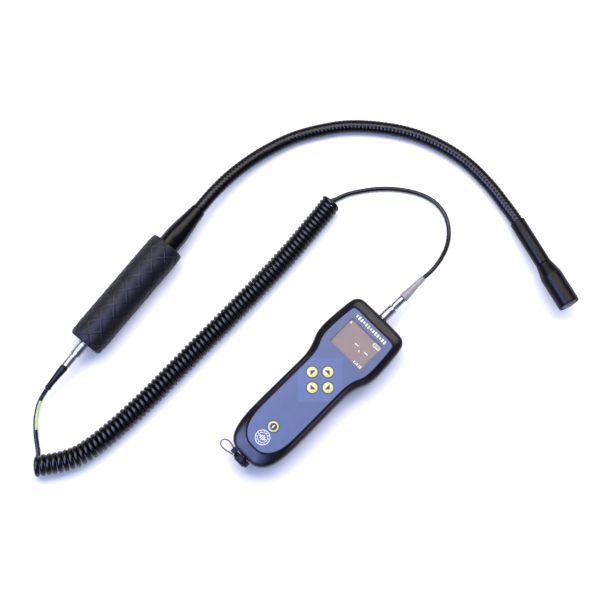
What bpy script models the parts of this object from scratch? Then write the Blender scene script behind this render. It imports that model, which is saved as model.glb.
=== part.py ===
"""Hand-held ultrasonic leak detector: a meter, a curly cable and a gooseneck listening probe.

Metres, +Z up. The origin is the centre of the meter's flat back, +Y runs along the meter towards
its probe connector and +Z comes out of its display. Everything lies on the plane Z = 0.
"""

import bpy
import bmesh
from math import asin, cos, pi, radians, sin, sqrt
from mathutils import Matrix, Vector

MM = 0.001
GAP = 0.0003

# ---- meter case ----
CASE_LENGTH = 0.226
CASE_DEPTH = 0.0388
WALL = 0.0024
PARTING_Z = 0.0118
SEAL_HEIGHT = 0.0010
PORT_Z = 0.022
# Right half of the case outline, from the connector end to the cap end, in millimetres.
CASE_OUTLINE = [
    (0, 113), (16, 113), (31, 112.2), (38, 107.5), (40.8, 99), (42.4, 84), (43.6, 66), (43.4, 56),
    (41.6, 46), (37.4, 35.5), (34.4, 25), (33.5, 12), (33.8, -20), (34, -58), (33.3, -78),
    (30.6, -94), (25.4, -105), (16.5, -111.8), (8, -113),
]
# The raised flat panel on the front, point for point with the case outline.
PANEL_OUTLINE = [
    (0, 99.2), (14, 99.2), (27, 99), (32, 96.5), (33.2, 91), (34.4, 79), (35.2, 63), (34.9, 53.5),
    (33.4, 45.5), (29.8, 37.2), (27.4, 27.5), (26.7, 13), (26.9, -20), (27, -54), (26.2, -70),
    (23.2, -82), (18, -90.5), (11, -95.8), (4.5, -97.4),
]
POINTS_PER_SPAN = 2

# ---- display and keys ----
WINDOW_SIZE = (0.049, 0.037)
WINDOW_Y = 0.0689
KEYPAD_Y = 0.0101
KEY_OFFSET = 0.0128
KEY_RADIUS = 0.0062
KEY_TRAVEL = 0.0008
POWER_Y = -0.0653
OVERLAY_THICKNESS = 0.0005
KEYS = {
    "key_up": (0, KEYPAD_Y + KEY_OFFSET),
    "key_down": (0, KEYPAD_Y - KEY_OFFSET),
    "key_left": (-KEY_OFFSET, KEYPAD_Y),
    "key_right": (KEY_OFFSET, KEYPAD_Y),
    "key_power": (0, POWER_Y),
}

# ---- inside the meter ----
BOARD_BOTTOM_Z = 0.0306
BOARD_TOP_Z = 0.0322
MAT_TOP_Z = 0.0341
DISPLAY_TOP_Z = 0.0360
FLOOR_Z = 0.0027
SCREW_PLACES = [(-0.0305, 0.091), (0.0305, 0.091), (-0.0175, -0.0885), (0.0175, -0.0885)]
SPACER_PLACES = [(-0.021, 0.089), (0.021, 0.089), (-0.021, -0.073), (0.021, -0.073)]

# ---- plugs and sockets, the same pattern at both ends of the cable; distances from the panel ----
SOCKET_RADIUS = 0.0060
PLUG_RADIUS = 0.0061
SLEEVE_END = 0.0182
CLAMP_END = 0.0345
BOOT_END = 0.0690

# ---- cable, lying on the plane ----
CORD_RADIUS = 0.0023
COIL_RADIUS = 0.011
METER_LEAD_ROUTE = [
    (0.3, 182.4, 22), (0.9, 192, 21.6), (0.4, 203, 20.2), (-1.8, 215, 17), (-6.2, 228.2, 12.4),
    (-13.6, 240.8, 8), (-24, 251.4, 4.6), (-36.8, 258.5, 3), (-51, 261, 2.5), (-65, 259, 2.4),
    (-78, 253.8, 2.4), (-90.2, 246.3, 2.4), (-101.4, 237.6, 2.4), (-111.6, 227.8, 2.4),
    (-120.8, 217, 2.4), (-129, 205.4, 2.4), (-136.4, 193, 2.4), (-143, 180.4, 2.8),
]
COIL_ROUTE = [
    (-141.5, 174.5), (-138, 158), (-135, 128), (-132.2, 98), (-130.2, 62), (-129, 22), (-128.2, -20),
    (-127.8, -62), (-127.2, -102), (-126.6, -140), (-127.4, -176), (-129.4, -208), (-134, -240),
    (-142, -264.5), (-156.6, -287.5),
]
HANDLE_LEAD_ROUTE = [
    (-218.0, -220.6, 15.9), (-216.6, -229, 13), (-214, -237.6, 10.3), (-209.8, -246, 7.6),
    (-204, -254.3, 5.3), (-197.4, -261.8, 3.6), (-190.4, -268.4, 2.7), (-182.6, -273.8, 2.4),
    (-174.2, -278.2, 2.4), (-165.4, -282.2, 2.4),
]
HANDLE_BOOT_ROUTE = [
    (-221.37, -186.64, 22), (-220.4, -196.8, 21.6), (-219.3, -208, 19.7), (-218.1, -219.9, 16.2),
]
MARKER_RADIUS = 0.0031
MARKER_SPAN = (0.17, 0.57)

# ---- handle: its own frame starts at the rear of the grip and runs along +Y ----
HANDLE_REAR = (-0.2247, -0.152, 0.022)
HANDLE_TURN = radians(5.5)
GRIP_LENGTH = 0.150
GRIP_RADIUS = 0.022
TUBE_OUTER_RADIUS = 0.0150
TUBE_INNER_RADIUS = 0.0132
CONE_RADIUS = 0.0132
CONE_END = 0.2065

# ---- gooseneck ----
NECK_RADIUS = 0.00775
NECK_ROUTE = [
    (-241.57, 23.2, 22), (-244.5, 53.6, 22), (-247, 80, 21), (-247.6, 110, 17.5), (-244.8, 140, 13.5), (-239, 168, 10.3),
    (-229.6, 196, 8.6), (-215, 223, 8.1), (-194, 252, 8.1), (-167, 277, 8.1), (-135.5, 298.5, 8.1),
    (-100, 313.5, 8.1), (-62.5, 321, 8.1), (-25, 320.6, 8.3), (6, 316, 9.6), (31, 310.7, 12),
    (42.4, 307.3, 13.9),
]
PIVOT_DISTANCES = [0.062, 0.140, 0.218, 0.296, 0.374, 0.452]
BALL_RADIUS = 1.28 * NECK_RADIUS
NECK_SIDES = 14

# ---- listening head, on a straight axis from the neck's end ----
HEAD_START = (0.031, 0.3107, 0.012)
HEAD_TURN = radians(-16.5)
HEAD_TILT = radians(9)
SLEEVE_RADIUS = 0.0091
SLEEVE_LENGTH = 0.060
HEAD_RADIUS = 0.013
HEAD_LENGTH = 0.0575
HEAD_TAPER = 0.016

# ---- cap and lanyard at the lower end ----
LUG_CENTRE = (-0.0133, -0.1157, 0.022)
WIRE_RADIUS = 0.00065
WIRE_ROUTE = [
    (-15.9, -114.5, 22), (-19, -113.3, 22), (-23.5, -112.6, 21.4), (-28.2, -113.2, 20.6),
    (-31.6, -116.2, 20), (-31.2, -120.4, 20), (-27, -122.8, 20.4), (-21, -122.6, 21.2),
    (-15.6, -121.2, 21.8), (-10.9, -120.2, 22),
]

ROUND_SIDES = 12
LARGE_SIDES = 20


# ---------------------------------------------------------------- tools

def clear_scene():
    for thing in list(bpy.data.objects):
        bpy.data.objects.remove(thing)


def material(name, colour, roughness, metallic=0.0, alpha=1.0):
    """A plain Principled material; the same name is made only once."""
    found = bpy.data.materials.get(name)
    if found:
        return found
    made = bpy.data.materials.new(name)
    made.use_nodes = True
    shader = made.node_tree.nodes["Principled BSDF"]
    shader.inputs["Base Color"].default_value = (*colour, 1.0)
    shader.inputs["Roughness"].default_value = roughness
    shader.inputs["Metallic"].default_value = metallic
    shader.inputs["Alpha"].default_value = alpha
    return made


BLACK_ABS = ("black_abs", (0.012, 0.011, 0.013), 0.35)
BLACK_RUBBER = ("black_rubber", (0.015, 0.015, 0.017), 0.75)
BLACK_PVC = ("black_pvc", (0.010, 0.010, 0.011), 0.4)
BLACK_METAL = ("black_anodised", (0.014, 0.014, 0.015), 0.35, 0.6)
CHROME = ("chrome_plate", (0.80, 0.80, 0.82), 0.15, 1.0)
STEEL = ("steel", (0.55, 0.55, 0.56), 0.35, 1.0)
BRASS = ("brass", (0.72, 0.52, 0.22), 0.35, 1.0)
ALUMINIUM = ("aluminium", (0.70, 0.71, 0.72), 0.4, 1.0)
BLUE_FILM = ("blue_film", (0.17, 0.22, 0.50), 0.45)
YELLOW_KEY = ("yellow_key", (0.85, 0.83, 0.45), 0.45)
DISPLAY = ("display", (0.38, 0.28, 0.27), 0.3)
CLEAR = ("clear_lens", (0.85, 0.82, 0.82), 0.1, 0.0, 0.35)
BOARD_GREEN = ("circuit_board", (0.03, 0.20, 0.08), 0.5)
CELL_WRAP = ("cell_wrap", (0.10, 0.28, 0.42), 0.5)
CLEAR_BOOT = ("translucent_boot", (0.72, 0.74, 0.80), 0.35)
MARKER_GREEN = ("marker_sleeve", (0.66, 0.76, 0.33), 0.5)
GREY_SILICONE = ("grey_silicone", (0.30, 0.30, 0.31), 0.6)


def add_object(name, mesh, finish):
    made = bpy.data.objects.new(name, mesh)
    bpy.context.scene.collection.objects.link(made)
    if finish:
        mesh.materials.append(material(*finish))
    return made


def empty(name, place, turn):
    made = bpy.data.objects.new(name, None)
    bpy.context.scene.collection.objects.link(made)
    made.location = place
    made.rotation_euler = turn
    return made


def mesh_from_rings(name, rings, closed=False):
    """A mesh skinned over rings of equal length; a one-point ring is a pole, and open ends are capped."""
    shape = bmesh.new()
    rows = [[shape.verts.new(point) for point in ring] for ring in rings]
    pairs = list(zip(rows, rows[1:]))
    if closed:
        pairs.append((rows[-1], rows[0]))
    for first, second in pairs:
        count = max(len(first), len(second))
        for i in range(count):
            j = (i + 1) % count
            corners = [first[i % len(first)], first[j % len(first)]]
            corners += [second[j % len(second)], second[i % len(second)]]
            shape.faces.new(list(dict.fromkeys(corners)))
    if not closed:
        for end in (rows[0], rows[-1]):
            if len(end) > 1:
                shape.faces.new(end)
    bmesh.ops.recalc_face_normals(shape, faces=shape.faces)
    mesh = bpy.data.meshes.new(name)
    shape.to_mesh(mesh)
    shape.free()
    return mesh


def smooth(made, degrees=35):
    made.data.shade_smooth()
    made.data.set_sharp_from_angle(angle=radians(degrees))
    return made


def turned(name, profile, finish, sides=ROUND_SIDES, closed=False):
    """A round piece about the local Y axis, from (radius, distance along Y) points."""
    rings = []
    for radius, along in profile:
        if radius == 0:
            rings.append([(0, along, 0)])
            continue
        steps = [2 * pi * i / sides for i in range(sides)]
        rings.append([(radius * cos(a), along, radius * sin(a)) for a in steps])
    return smooth(add_object(name, mesh_from_rings(name, rings, closed), finish))


def block(name, size, centre, finish=None):
    """A box of that size about that centre."""
    shape = bmesh.new()
    bmesh.ops.create_cube(shape, size=1.0, matrix=Matrix.Diagonal((*size, 1.0)))
    mesh = bpy.data.meshes.new(name)
    shape.to_mesh(mesh)
    shape.free()
    made = add_object(name, mesh, finish)
    made.location = centre
    return made


def rods(name, radius, low, high, places, sides=ROUND_SIDES, axis="Z"):
    """Cylinders between two heights along Z or Y, one at each place; a tool for cutting or joining."""
    shape = bmesh.new()
    for across, other in places:
        ends = []
        for height in (low, high):
            ring = []
            for i in range(sides):
                u = across + radius * cos(2 * pi * i / sides)
                v = other + radius * sin(2 * pi * i / sides)
                ring.append(shape.verts.new((u, v, height) if axis == "Z" else (u, height, v)))
            ends.append(ring)
        for i in range(sides):
            j = (i + 1) % sides
            shape.faces.new((ends[0][i], ends[0][j], ends[1][j], ends[1][i]))
        for ring in ends:
            shape.faces.new(ring)
    bmesh.ops.recalc_face_normals(shape, faces=shape.faces)
    mesh = bpy.data.meshes.new(name)
    shape.to_mesh(mesh)
    shape.free()
    return add_object(name, mesh, None)


def rod(name, radius, low, high, finish=None, sides=ROUND_SIDES, axis="Z"):
    """One plain cylinder on its own Z or Y axis."""
    made = rods(name, radius, low, high, [(0, 0)], sides, axis)
    if finish:
        made.data.materials.append(material(*finish))
    return smooth(made)


def combine(target, tool, operation="DIFFERENCE"):
    """A Boolean on target, with the tool kept out of the model."""
    step = target.modifiers.new(tool.name, "BOOLEAN")
    step.operation = operation
    step.object = tool
    tool.hide_render = True
    tool.display_type = "WIRE"
    return target


def soften(made, width, segments=2):
    step = made.modifiers.new("Bevel", "BEVEL")
    step.width = width
    step.segments = segments
    step.limit_method = "ANGLE"
    return made


def spline_points(points, per_span, closed=False):
    """Points along a smooth curve through the given ones, per_span of them for each span."""
    known = [Vector(p) for p in points]
    count = len(known)
    spans = count if closed else count - 1
    made = []
    for i in range(spans):
        before = known[i - 1] if closed or i else known[0] * 2 - known[1]
        start = known[i]
        end = known[(i + 1) % count]
        last = known[(i + 2) % count] if closed or i + 2 < count else end * 2 - start
        for k in range(per_span):
            t = k / per_span
            made.append(0.5 * (2 * start + (end - before) * t
                               + (2 * before - 5 * start + 4 * end - last) * t ** 2
                               + (3 * start - before - 3 * end + last) * t ** 3))
    if not closed:
        made.append(known[-1])
    return made


class Path:
    """A smooth route through millimetre points that can be read at any distance along it."""

    def __init__(self, route):
        self.points = [p * MM for p in spline_points([Vector(q) for q in route], 12)]
        self.reach = [0.0]
        for a, b in zip(self.points, self.points[1:]):
            self.reach.append(self.reach[-1] + (b - a).length)
        self.length = self.reach[-1]

    def at(self, distance):
        distance = min(max(distance, 0.0), self.length)
        i = 0
        while i < len(self.reach) - 2 and self.reach[i + 1] < distance:
            i += 1
        share = (distance - self.reach[i]) / (self.reach[i + 1] - self.reach[i])
        return self.points[i].lerp(self.points[i + 1], share)

    def direction(self, distance, reach=0.002):
        return (self.at(distance + reach) - self.at(distance - reach)).normalized()

    def evenly(self, spacing, start=0.0, end=None):
        end = self.length if end is None else end
        count = max(2, round((end - start) / spacing) + 1)
        return [self.at(start + (end - start) * i / (count - 1)) for i in range(count)]


def swept(name, points, radius, finish, resolution=2, radii=None):
    """A round tube along points, as a bevelled curve with filled caps."""
    curve = bpy.data.curves.new(name, "CURVE")
    curve.dimensions = "3D"
    curve.bevel_depth = radius
    curve.bevel_resolution = resolution
    curve.use_fill_caps = True
    spline = curve.splines.new("POLY")
    spline.points.add(len(points) - 1)
    for i, point in enumerate(points):
        spline.points[i].co = (*point, 1.0)
        spline.points[i].radius = radii[i] if radii else 1.0
    return add_object(name, curve, finish)


# ---------------------------------------------------------------- meter

def full_outline(half):
    """The whole outline from its right half, in millimetres, run round once."""
    left = [(-x, y) for x, y in reversed(half) if x > 0]
    corners = [Vector((x, y)) for x, y in half + left]
    return spline_points(corners, POINTS_PER_SPAN, closed=True)


def inset(outline, distance):
    """The outline moved inwards by a distance in millimetres."""
    moved = []
    count = len(outline)
    for i, point in enumerate(outline):
        along = (outline[(i + 1) % count] - outline[i - 1]).normalized()
        moved.append(point + Vector((along.y, -along.x)) * distance)
    return moved


def level(outline, height):
    return [(p.x * MM, p.y * MM, height) for p in outline]


def between(first, second, share):
    return [a.lerp(b, share) for a, b in zip(first, second)]


def front_shell():
    case = full_outline(CASE_OUTLINE)
    panel = full_outline(PANEL_OUTLINE)
    low = PARTING_Z + SEAL_HEIGHT + 2 * GAP
    slope = between(inset(panel, -1), inset(case, 4.4), 0.5)
    rings = [
        level(panel, CASE_DEPTH),
        level(inset(panel, -1.6), 0.0378),
        level(inset(case, 3.2), 0.0350),
        level(inset(case, 0.9), 0.0325),
        level(case, 0.0285),
        level(case, 0.017),
        level(inset(case, 0.4), low),
        level(inset(case, 2.6), low),
        level(inset(case, 2.4), 0.0275),
        level(inset(case, 3.6), 0.0310),
        level(slope, 0.0342),
        level(inset(panel, 1.2), CASE_DEPTH - WALL),
    ]
    shell = smooth(add_object("front_shell", mesh_from_rings("front_shell", rings), BLACK_ABS), 40)
    combine(shell, rods("front_posts", 0.0038, 0.0121, 0.0366, SCREW_PLACES), "UNION")
    combine(shell, rods("front_post_holes", 0.00175, 0.0110, 0.0190, SCREW_PLACES))
    combine(shell, rods("key_holes", KEY_RADIUS + 0.0004, 0.034, 0.041, KEYS.values()))
    combine(shell, block("window_hole", (0.050, 0.038, 0.008), (0, WINDOW_Y, 0.038)))
    for name, middle in (("probe_port", 0.112), ("charge_port", -0.112)):
        port = rod(name, SOCKET_RADIUS + 0.0004, middle - 0.006, middle + 0.006, axis="Y")
        port.location = (0, 0, PORT_Z)
        combine(shell, port)


def rear_shell():
    case = full_outline(CASE_OUTLINE)
    rings = [
        level(inset(case, 6), 0),
        level(inset(case, 3.2), 0.0012),
        level(inset(case, 1.2), 0.0042),
        level(inset(case, 0.5), 0.0085),
        level(inset(case, 0.4), PARTING_Z),
        level(inset(case, 2.6), PARTING_Z),
        level(inset(case, 3.4), 0.0060),
        level(inset(case, 6.6), FLOOR_Z),
    ]
    shell = smooth(add_object("rear_shell", mesh_from_rings("rear_shell", rings), BLACK_ABS), 40)
    combine(shell, rods("rear_posts", 0.0042, 0.0015, 0.0115, SCREW_PLACES), "UNION")
    combine(shell, rods("screw_holes", 0.0018, -0.001, 0.013, SCREW_PLACES))
    combine(shell, rods("screw_recesses", 0.0034, -0.001, 0.0024, SCREW_PLACES))


def case_seal():
    case = full_outline(CASE_OUTLINE)
    low = PARTING_Z + GAP
    high = low + SEAL_HEIGHT
    outer = inset(case, 0.9)
    inner = inset(case, 2.3)
    rings = [level(outer, low), level(outer, high), level(inner, high), level(inner, low)]
    smooth(add_object("case_seal", mesh_from_rings("case_seal", rings, closed=True), GREY_SILICONE))


def keypad_overlay():
    film = inset(full_outline(PANEL_OUTLINE), 0.9)
    low = CASE_DEPTH + GAP
    rings = [level(film, low), level(film, low + OVERLAY_THICKNESS)]
    overlay = smooth(add_object("keypad_overlay", mesh_from_rings("keypad_overlay", rings), BLUE_FILM))
    combine(overlay, rods("film_holes", KEY_RADIUS + 0.0004, 0.037, 0.042, KEYS.values()))
    width, height = WINDOW_SIZE
    combine(overlay, block("film_window", (width, height, 0.006), (0, WINDOW_Y, 0.039)))


def display():
    width, height = WINDOW_SIZE
    lens = block("lcd_window", (width + 0.0002, height + 0.0002, 0.0014), (0, WINDOW_Y, 0.0379), CLEAR)
    soften(lens, 0.0003, 1)
    low = BOARD_TOP_Z + GAP
    size = (width + 0.005, height + 0.005, DISPLAY_TOP_Z - low)
    soften(block("lcd_module", size, (0, WINDOW_Y, (low + DISPLAY_TOP_Z) / 2), DISPLAY), 0.0005, 1)


def keys():
    """Domed keys held by a flange under the case; each one travels straight down."""
    profile = [
        (0, 0), (0.0070, 0), (0.0070, 0.0009), (KEY_RADIUS, 0.0009), (KEY_RADIUS, 0.0050),
        (0.0056, 0.0055), (0.0034, 0.0058), (0, 0.0059),
    ]
    for name, (x, y) in KEYS.items():
        key = turned(name, profile, YELLOW_KEY)
        key.location = (x, y, MAT_TOP_Z + KEY_TRAVEL + GAP)
        key.rotation_euler = (pi / 2, 0, 0)


def meter_inside():
    thickness = BOARD_TOP_Z - BOARD_BOTTOM_Z
    middle = (BOARD_TOP_Z + BOARD_BOTTOM_Z) / 2
    soften(block("main_board", (0.050, 0.176, thickness), (0, 0.008, middle), BOARD_GREEN), 0.0004, 1)
    low = BOARD_TOP_Z + GAP
    mat_size = (0.040, 0.108, MAT_TOP_Z - low)
    soften(block("key_mat", mat_size, (0, -0.020, (low + MAT_TOP_Z) / 2), GREY_SILICONE), 0.0004, 1)
    soften(block("battery_pack", (0.051, 0.100, 0.017), (0, -0.020, 0.0118), CELL_WRAP), 0.004, 3)
    for i, (x, y) in enumerate(SPACER_PLACES):
        spacer = rod(f"board_spacer_{i + 1}", 0.0025, 0, BOARD_BOTTOM_Z - FLOOR_Z - 2 * GAP, BRASS, 6)
        spacer.location = (x, y, FLOOR_Z + GAP)
    for i, (x, y) in enumerate(SCREW_PLACES):
        profile = [(0, 0), (0.0030, 0), (0.0030, 0.0017), (0.0014, 0.0017), (0.0014, 0.0180), (0, 0.0180)]
        screw = turned(f"case_screw_{i + 1}", profile, STEEL, 10)
        screw.location = (x, y, 0.0003)
        screw.rotation_euler = (pi / 2, 0, 0)


def cap_and_lanyard():
    """Dust cap pushed into the charging socket, and the short steel wire that keeps it."""
    out = empty("cap_frame", (0, -CASE_LENGTH / 2, PORT_Z), (0, 0, pi))
    socket("charge_socket", out)
    profile = [
        (0, -0.0072), (0.0039, -0.0072), (0.0039, 0.0010), (0.0094, 0.0010), (0.0102, 0.0018),
        (0.0102, 0.0070), (0.0090, 0.0082), (0.0072, 0.0084), (0.0072, 0.0090), (0.0064, 0.0096),
        (0, 0.0096),
    ]
    cap = turned("socket_cap", profile, BLACK_RUBBER, LARGE_SIDES)
    cap.parent = out
    soften(block("lanyard_lug", (0.0045, 0.0046, 0.0060), LUG_CENTRE, BLACK_ABS), 0.0006, 1)
    swept("cap_lanyard", Path(WIRE_ROUTE).evenly(0.0022), WIRE_RADIUS, STEEL)


# ---------------------------------------------------------------- cable

def socket(name, frame):
    """A panel socket with its mouth at the frame's origin, facing along the frame's +Y."""
    profile = [
        (0, -0.0135), (SOCKET_RADIUS, -0.0135), (SOCKET_RADIUS, 0.0006), (0.0043, 0.0006),
        (0.0043, -0.0085), (0, -0.0085),
    ]
    turned(name, profile, CHROME).parent = frame


def plug(name, frame):
    """A push-pull plug in a socket: its core with the cable clamp, and the sliding release sleeve."""
    nose, clamp = 0.0039, 0.0048
    core = [
        (0, -0.0075), (nose, -0.0075), (nose, SLEEVE_END + 0.0018), (clamp, SLEEVE_END + 0.0018),
        (clamp, CLAMP_END - 0.0006), (clamp - 0.0006, CLAMP_END), (0, CLAMP_END),
    ]
    turned(name + "_body", core, CHROME).parent = frame
    start = 0.0010
    ring = [
        (0.0043, start), (0.0056, start), (PLUG_RADIUS, start + 0.0005),
        (PLUG_RADIUS, SLEEVE_END - 0.0010), (0.0054, SLEEVE_END), (0.0043, SLEEVE_END),
    ]
    turned(name + "_sleeve", ring, CHROME, closed=True).parent = frame


def cable():
    meter_end = empty("meter_plug_frame", (0, CASE_LENGTH / 2, PORT_Z), (0, 0, 0))
    socket("meter_socket", meter_end)
    nut = [(0.0065, -0.0065), (0.0078, -0.0065), (0.0078, -0.0038), (0.0065, -0.0038)]
    turned("socket_nut", nut, STEEL, closed=True).parent = meter_end
    plug("meter_plug", meter_end)
    boot = [(0, CLAMP_END + GAP), (0.0046, CLAMP_END + GAP), (0.0046, 0.042), (0.0029, BOOT_END), (0, BOOT_END)]
    turned("meter_plug_boot", boot, CLEAR_BOOT).parent = meter_end

    handle_end = empty("handle_plug_frame", HANDLE_REAR, (0, 0, HANDLE_TURN + pi))
    socket("handle_socket", handle_end)
    plug("handle_plug", handle_end)
    bent = Path(HANDLE_BOOT_ROUTE).evenly(0.0035)
    radii = [1 - 0.36 * max(0.0, i / (len(bent) - 1) - 0.15) / 0.85 for i in range(len(bent))]
    swept("handle_plug_boot", bent, 0.0046, BLACK_PVC, 4, radii)

    spacing = 5 * CORD_RADIUS
    swept("lead_meter_side", Path(METER_LEAD_ROUTE).evenly(spacing), CORD_RADIUS, BLACK_PVC)
    handle_lead = Path(HANDLE_LEAD_ROUTE)
    swept("lead_handle_side", handle_lead.evenly(spacing * 0.6), CORD_RADIUS, BLACK_PVC)
    coil = Path([(x, y, COIL_RADIUS / MM) for x, y in COIL_ROUTE])
    swept("curly_coil", coil.evenly(0.011), COIL_RADIUS, BLACK_PVC, 4)

    start, end = (share * handle_lead.length for share in MARKER_SPAN)
    places = [start + (end - start) * i / 8 for i in range(9)]
    outer = [ring_at(handle_lead, s, MARKER_RADIUS, 10) for s in places]
    inner = [ring_at(handle_lead, s, CORD_RADIUS + 2 * GAP, 10) for s in reversed(places)]
    marker = mesh_from_rings("marker_sleeve", outer + inner, closed=True)
    smooth(add_object("marker_sleeve", marker, MARKER_GREEN))


# ---------------------------------------------------------------- handle

def handle():
    frame = empty("handle_frame", HANDLE_REAR, (0, 0, HANDLE_TURN))
    bore = TUBE_OUTER_RADIUS + GAP
    grip = [
        (bore, 0), (0.0186, 0), (0.0203, 0.0014), (0.0211, 0.006), (GRIP_RADIUS, 0.022),
        (GRIP_RADIUS, 0.128), (0.0215, 0.143), (0.0205, GRIP_LENGTH - 0.0012),
        (0.0190, GRIP_LENGTH), (bore, GRIP_LENGTH),
    ]
    turned("grip_sleeve", grip, BLACK_RUBBER, LARGE_SIDES, closed=True).parent = frame
    tube = [
        (TUBE_INNER_RADIUS, 0.003), (TUBE_OUTER_RADIUS, 0.003), (TUBE_OUTER_RADIUS, 0.147),
        (TUBE_INNER_RADIUS, 0.147),
    ]
    turned("core_tube", tube, ALUMINIUM, LARGE_SIDES, closed=True).parent = frame
    spigot = TUBE_INNER_RADIUS - GAP
    port = SOCKET_RADIUS + 0.0004
    end_cap = [
        (port, 0.0004), (TUBE_OUTER_RADIUS, 0.0004), (TUBE_OUTER_RADIUS, 0.0027), (spigot, 0.0027),
        (spigot, 0.010), (port, 0.010),
    ]
    turned("rear_end_cap", end_cap, BLACK_ABS, LARGE_SIDES, closed=True).parent = frame
    board = block("preamp_board", (0.020, 0.090, 0.0016), (0, 0.064, 0), BOARD_GREEN)
    board.parent = frame
    neck_bore = NECK_RADIUS + GAP
    cone = [
        (0.005, 0.128), (spigot, 0.128), (spigot, 0.1475), (CONE_RADIUS, 0.1503), (CONE_RADIUS, 0.165),
        (0.0126, 0.172), (0.0108, 0.187), (0.0094, 0.199), (0.0087, CONE_END), (neck_bore, CONE_END),
        (neck_bore, 0.174), (0.005, 0.174),
    ]
    turned("front_cone", cone, BLACK_METAL, LARGE_SIDES, closed=True).parent = frame


# ---------------------------------------------------------------- gooseneck

def ring_about(centre, direction, radius, sides):
    side = direction.cross(Vector((0, 0, 1))).normalized()
    up = side.cross(direction)
    turns = [2 * pi * i / sides for i in range(sides)]
    return [centre + radius * (cos(a) * side + sin(a) * up) for a in turns]


def ring_at(path, distance, radius, sides):
    return ring_about(path.at(distance), path.direction(distance), radius, sides)


def ball_rings(pivot, direction, radius):
    """Rings on a ball about the pivot, from the pole ahead of it out to the neck's own radius."""
    edge = asin(NECK_RADIUS / radius)
    rings = [[pivot + direction * radius]]
    for share in (0.36, 0.70, 1.0):
        tilt = edge * share
        centre = pivot + direction * radius * cos(tilt)
        rings.append(ring_about(centre, direction, radius * sin(tilt), NECK_SIDES))
    return rings


def neck_link(name, neck, start, end, cupped, domed):
    """One stretch of the neck: a cup that turns on the ball before it, and a ball of its own."""
    rings = []
    first = start
    if cupped:
        cup = BALL_RADIUS + GAP
        rings += ball_rings(neck.at(start), neck.direction(start), cup)
        first = start + sqrt(cup ** 2 - NECK_RADIUS ** 2)
    last = end
    if domed:
        last = end + sqrt(BALL_RADIUS ** 2 - NECK_RADIUS ** 2)
    count = round((last - first) / 0.010)
    inner_from = 1 if cupped else 0
    inner_to = count if domed else count + 1
    for i in range(inner_from, inner_to):
        rings.append(ring_at(neck, first + (last - first) * i / count, NECK_RADIUS, NECK_SIDES))
    if domed:
        rings += reversed(ball_rings(neck.at(end), neck.direction(end), BALL_RADIUS))
    origin = neck.at(start)
    local = [[point - origin for point in ring] for ring in rings]
    link = smooth(add_object(name, mesh_from_rings(name, local), BLACK_METAL))
    link.location = origin


def gooseneck():
    neck = Path(NECK_ROUTE)
    stops = [0.0] + PIVOT_DISTANCES + [neck.length]
    last = len(stops) - 2
    for i in range(last + 1):
        name = f"neck_link_{i}" if i else "neck_base"
        neck_link(name, neck, stops[i], stops[i + 1], cupped=i > 0, domed=i < last)


def listening_head():
    frame = empty("head_frame", HEAD_START, (HEAD_TILT, 0, HEAD_TURN - pi / 2))
    sleeve = [
        (0.0088, 0), (SLEEVE_RADIUS, 0.0008), (SLEEVE_RADIUS, SLEEVE_LENGTH), (0.0055, SLEEVE_LENGTH),
        (0.0055, 0.0145), (0.0083, 0.0145), (0.0083, 0),
    ]
    turned("tip_sleeve", sleeve, BLACK_METAL, LARGE_SIDES, closed=True).parent = frame
    base = SLEEVE_LENGTH + GAP
    shell = [
        (0.0055, base), (0.0093, base), (0.0097, base + 0.0024), (0.0125, base + HEAD_TAPER - 0.0012),
        (HEAD_RADIUS, base + HEAD_TAPER + 0.0012), (HEAD_RADIUS, base + HEAD_LENGTH - 0.0012),
        (0.0124, base + HEAD_LENGTH), (0.0114, base + HEAD_LENGTH), (0.0114, base + 0.028),
        (0.0055, base + 0.028),
    ]
    turned("sensor_head", shell, BLACK_METAL, LARGE_SIDES, closed=True).parent = frame
    capsule = [(0, 0.0955), (0.0082, 0.0955), (0.0082, 0.1105), (0, 0.1105)]
    turned("transducer", capsule, ALUMINIUM).parent = frame
    ring = [(0.0086, 0.0915), (0.0110, 0.0915), (0.0110, 0.1105), (0.0086, 0.1105)]
    turned("damping_ring", ring, GREY_SILICONE, closed=True).parent = frame
    disc = [(0, 0.1146), (0.0110, 0.1146), (0.0110, 0.1160), (0, 0.1160)]
    grille = turned("sensor_grille", disc, STEEL, LARGE_SIDES)
    places = [(0, 0)]
    for count, radius in ((6, 0.0038), (12, 0.0076)):
        places += [(radius * cos(2 * pi * i / count), radius * sin(2 * pi * i / count)) for i in range(count)]
    holes = rods("grille_holes", 0.0010, 0.113, 0.118, places, 8, axis="Y")
    combine(grille, holes)
    grille.parent = frame
    holes.parent = frame


clear_scene()
front_shell()
rear_shell()
case_seal()
keypad_overlay()
display()
keys()
meter_inside()
cap_and_lanyard()
cable()
handle()
gooseneck()
listening_head()
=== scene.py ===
"""Fine surfaces of a hand-held ultrasonic leak detector.

A meter with a display and keys, a curly cable, and a listening probe on a gooseneck. Metres, +Z up,
with the origin at the centre of the meter's flat back and +Y towards its cable connector.
"""

from math import ceil, cos, exp, pi, radians, sin, sqrt

import bmesh
import bpy
from bpy.props import FloatProperty, FloatVectorProperty, IntProperty, PointerProperty
from bpy.types import Operator, Panel, PropertyGroup
from mathutils import Euler, Matrix, Vector


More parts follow.
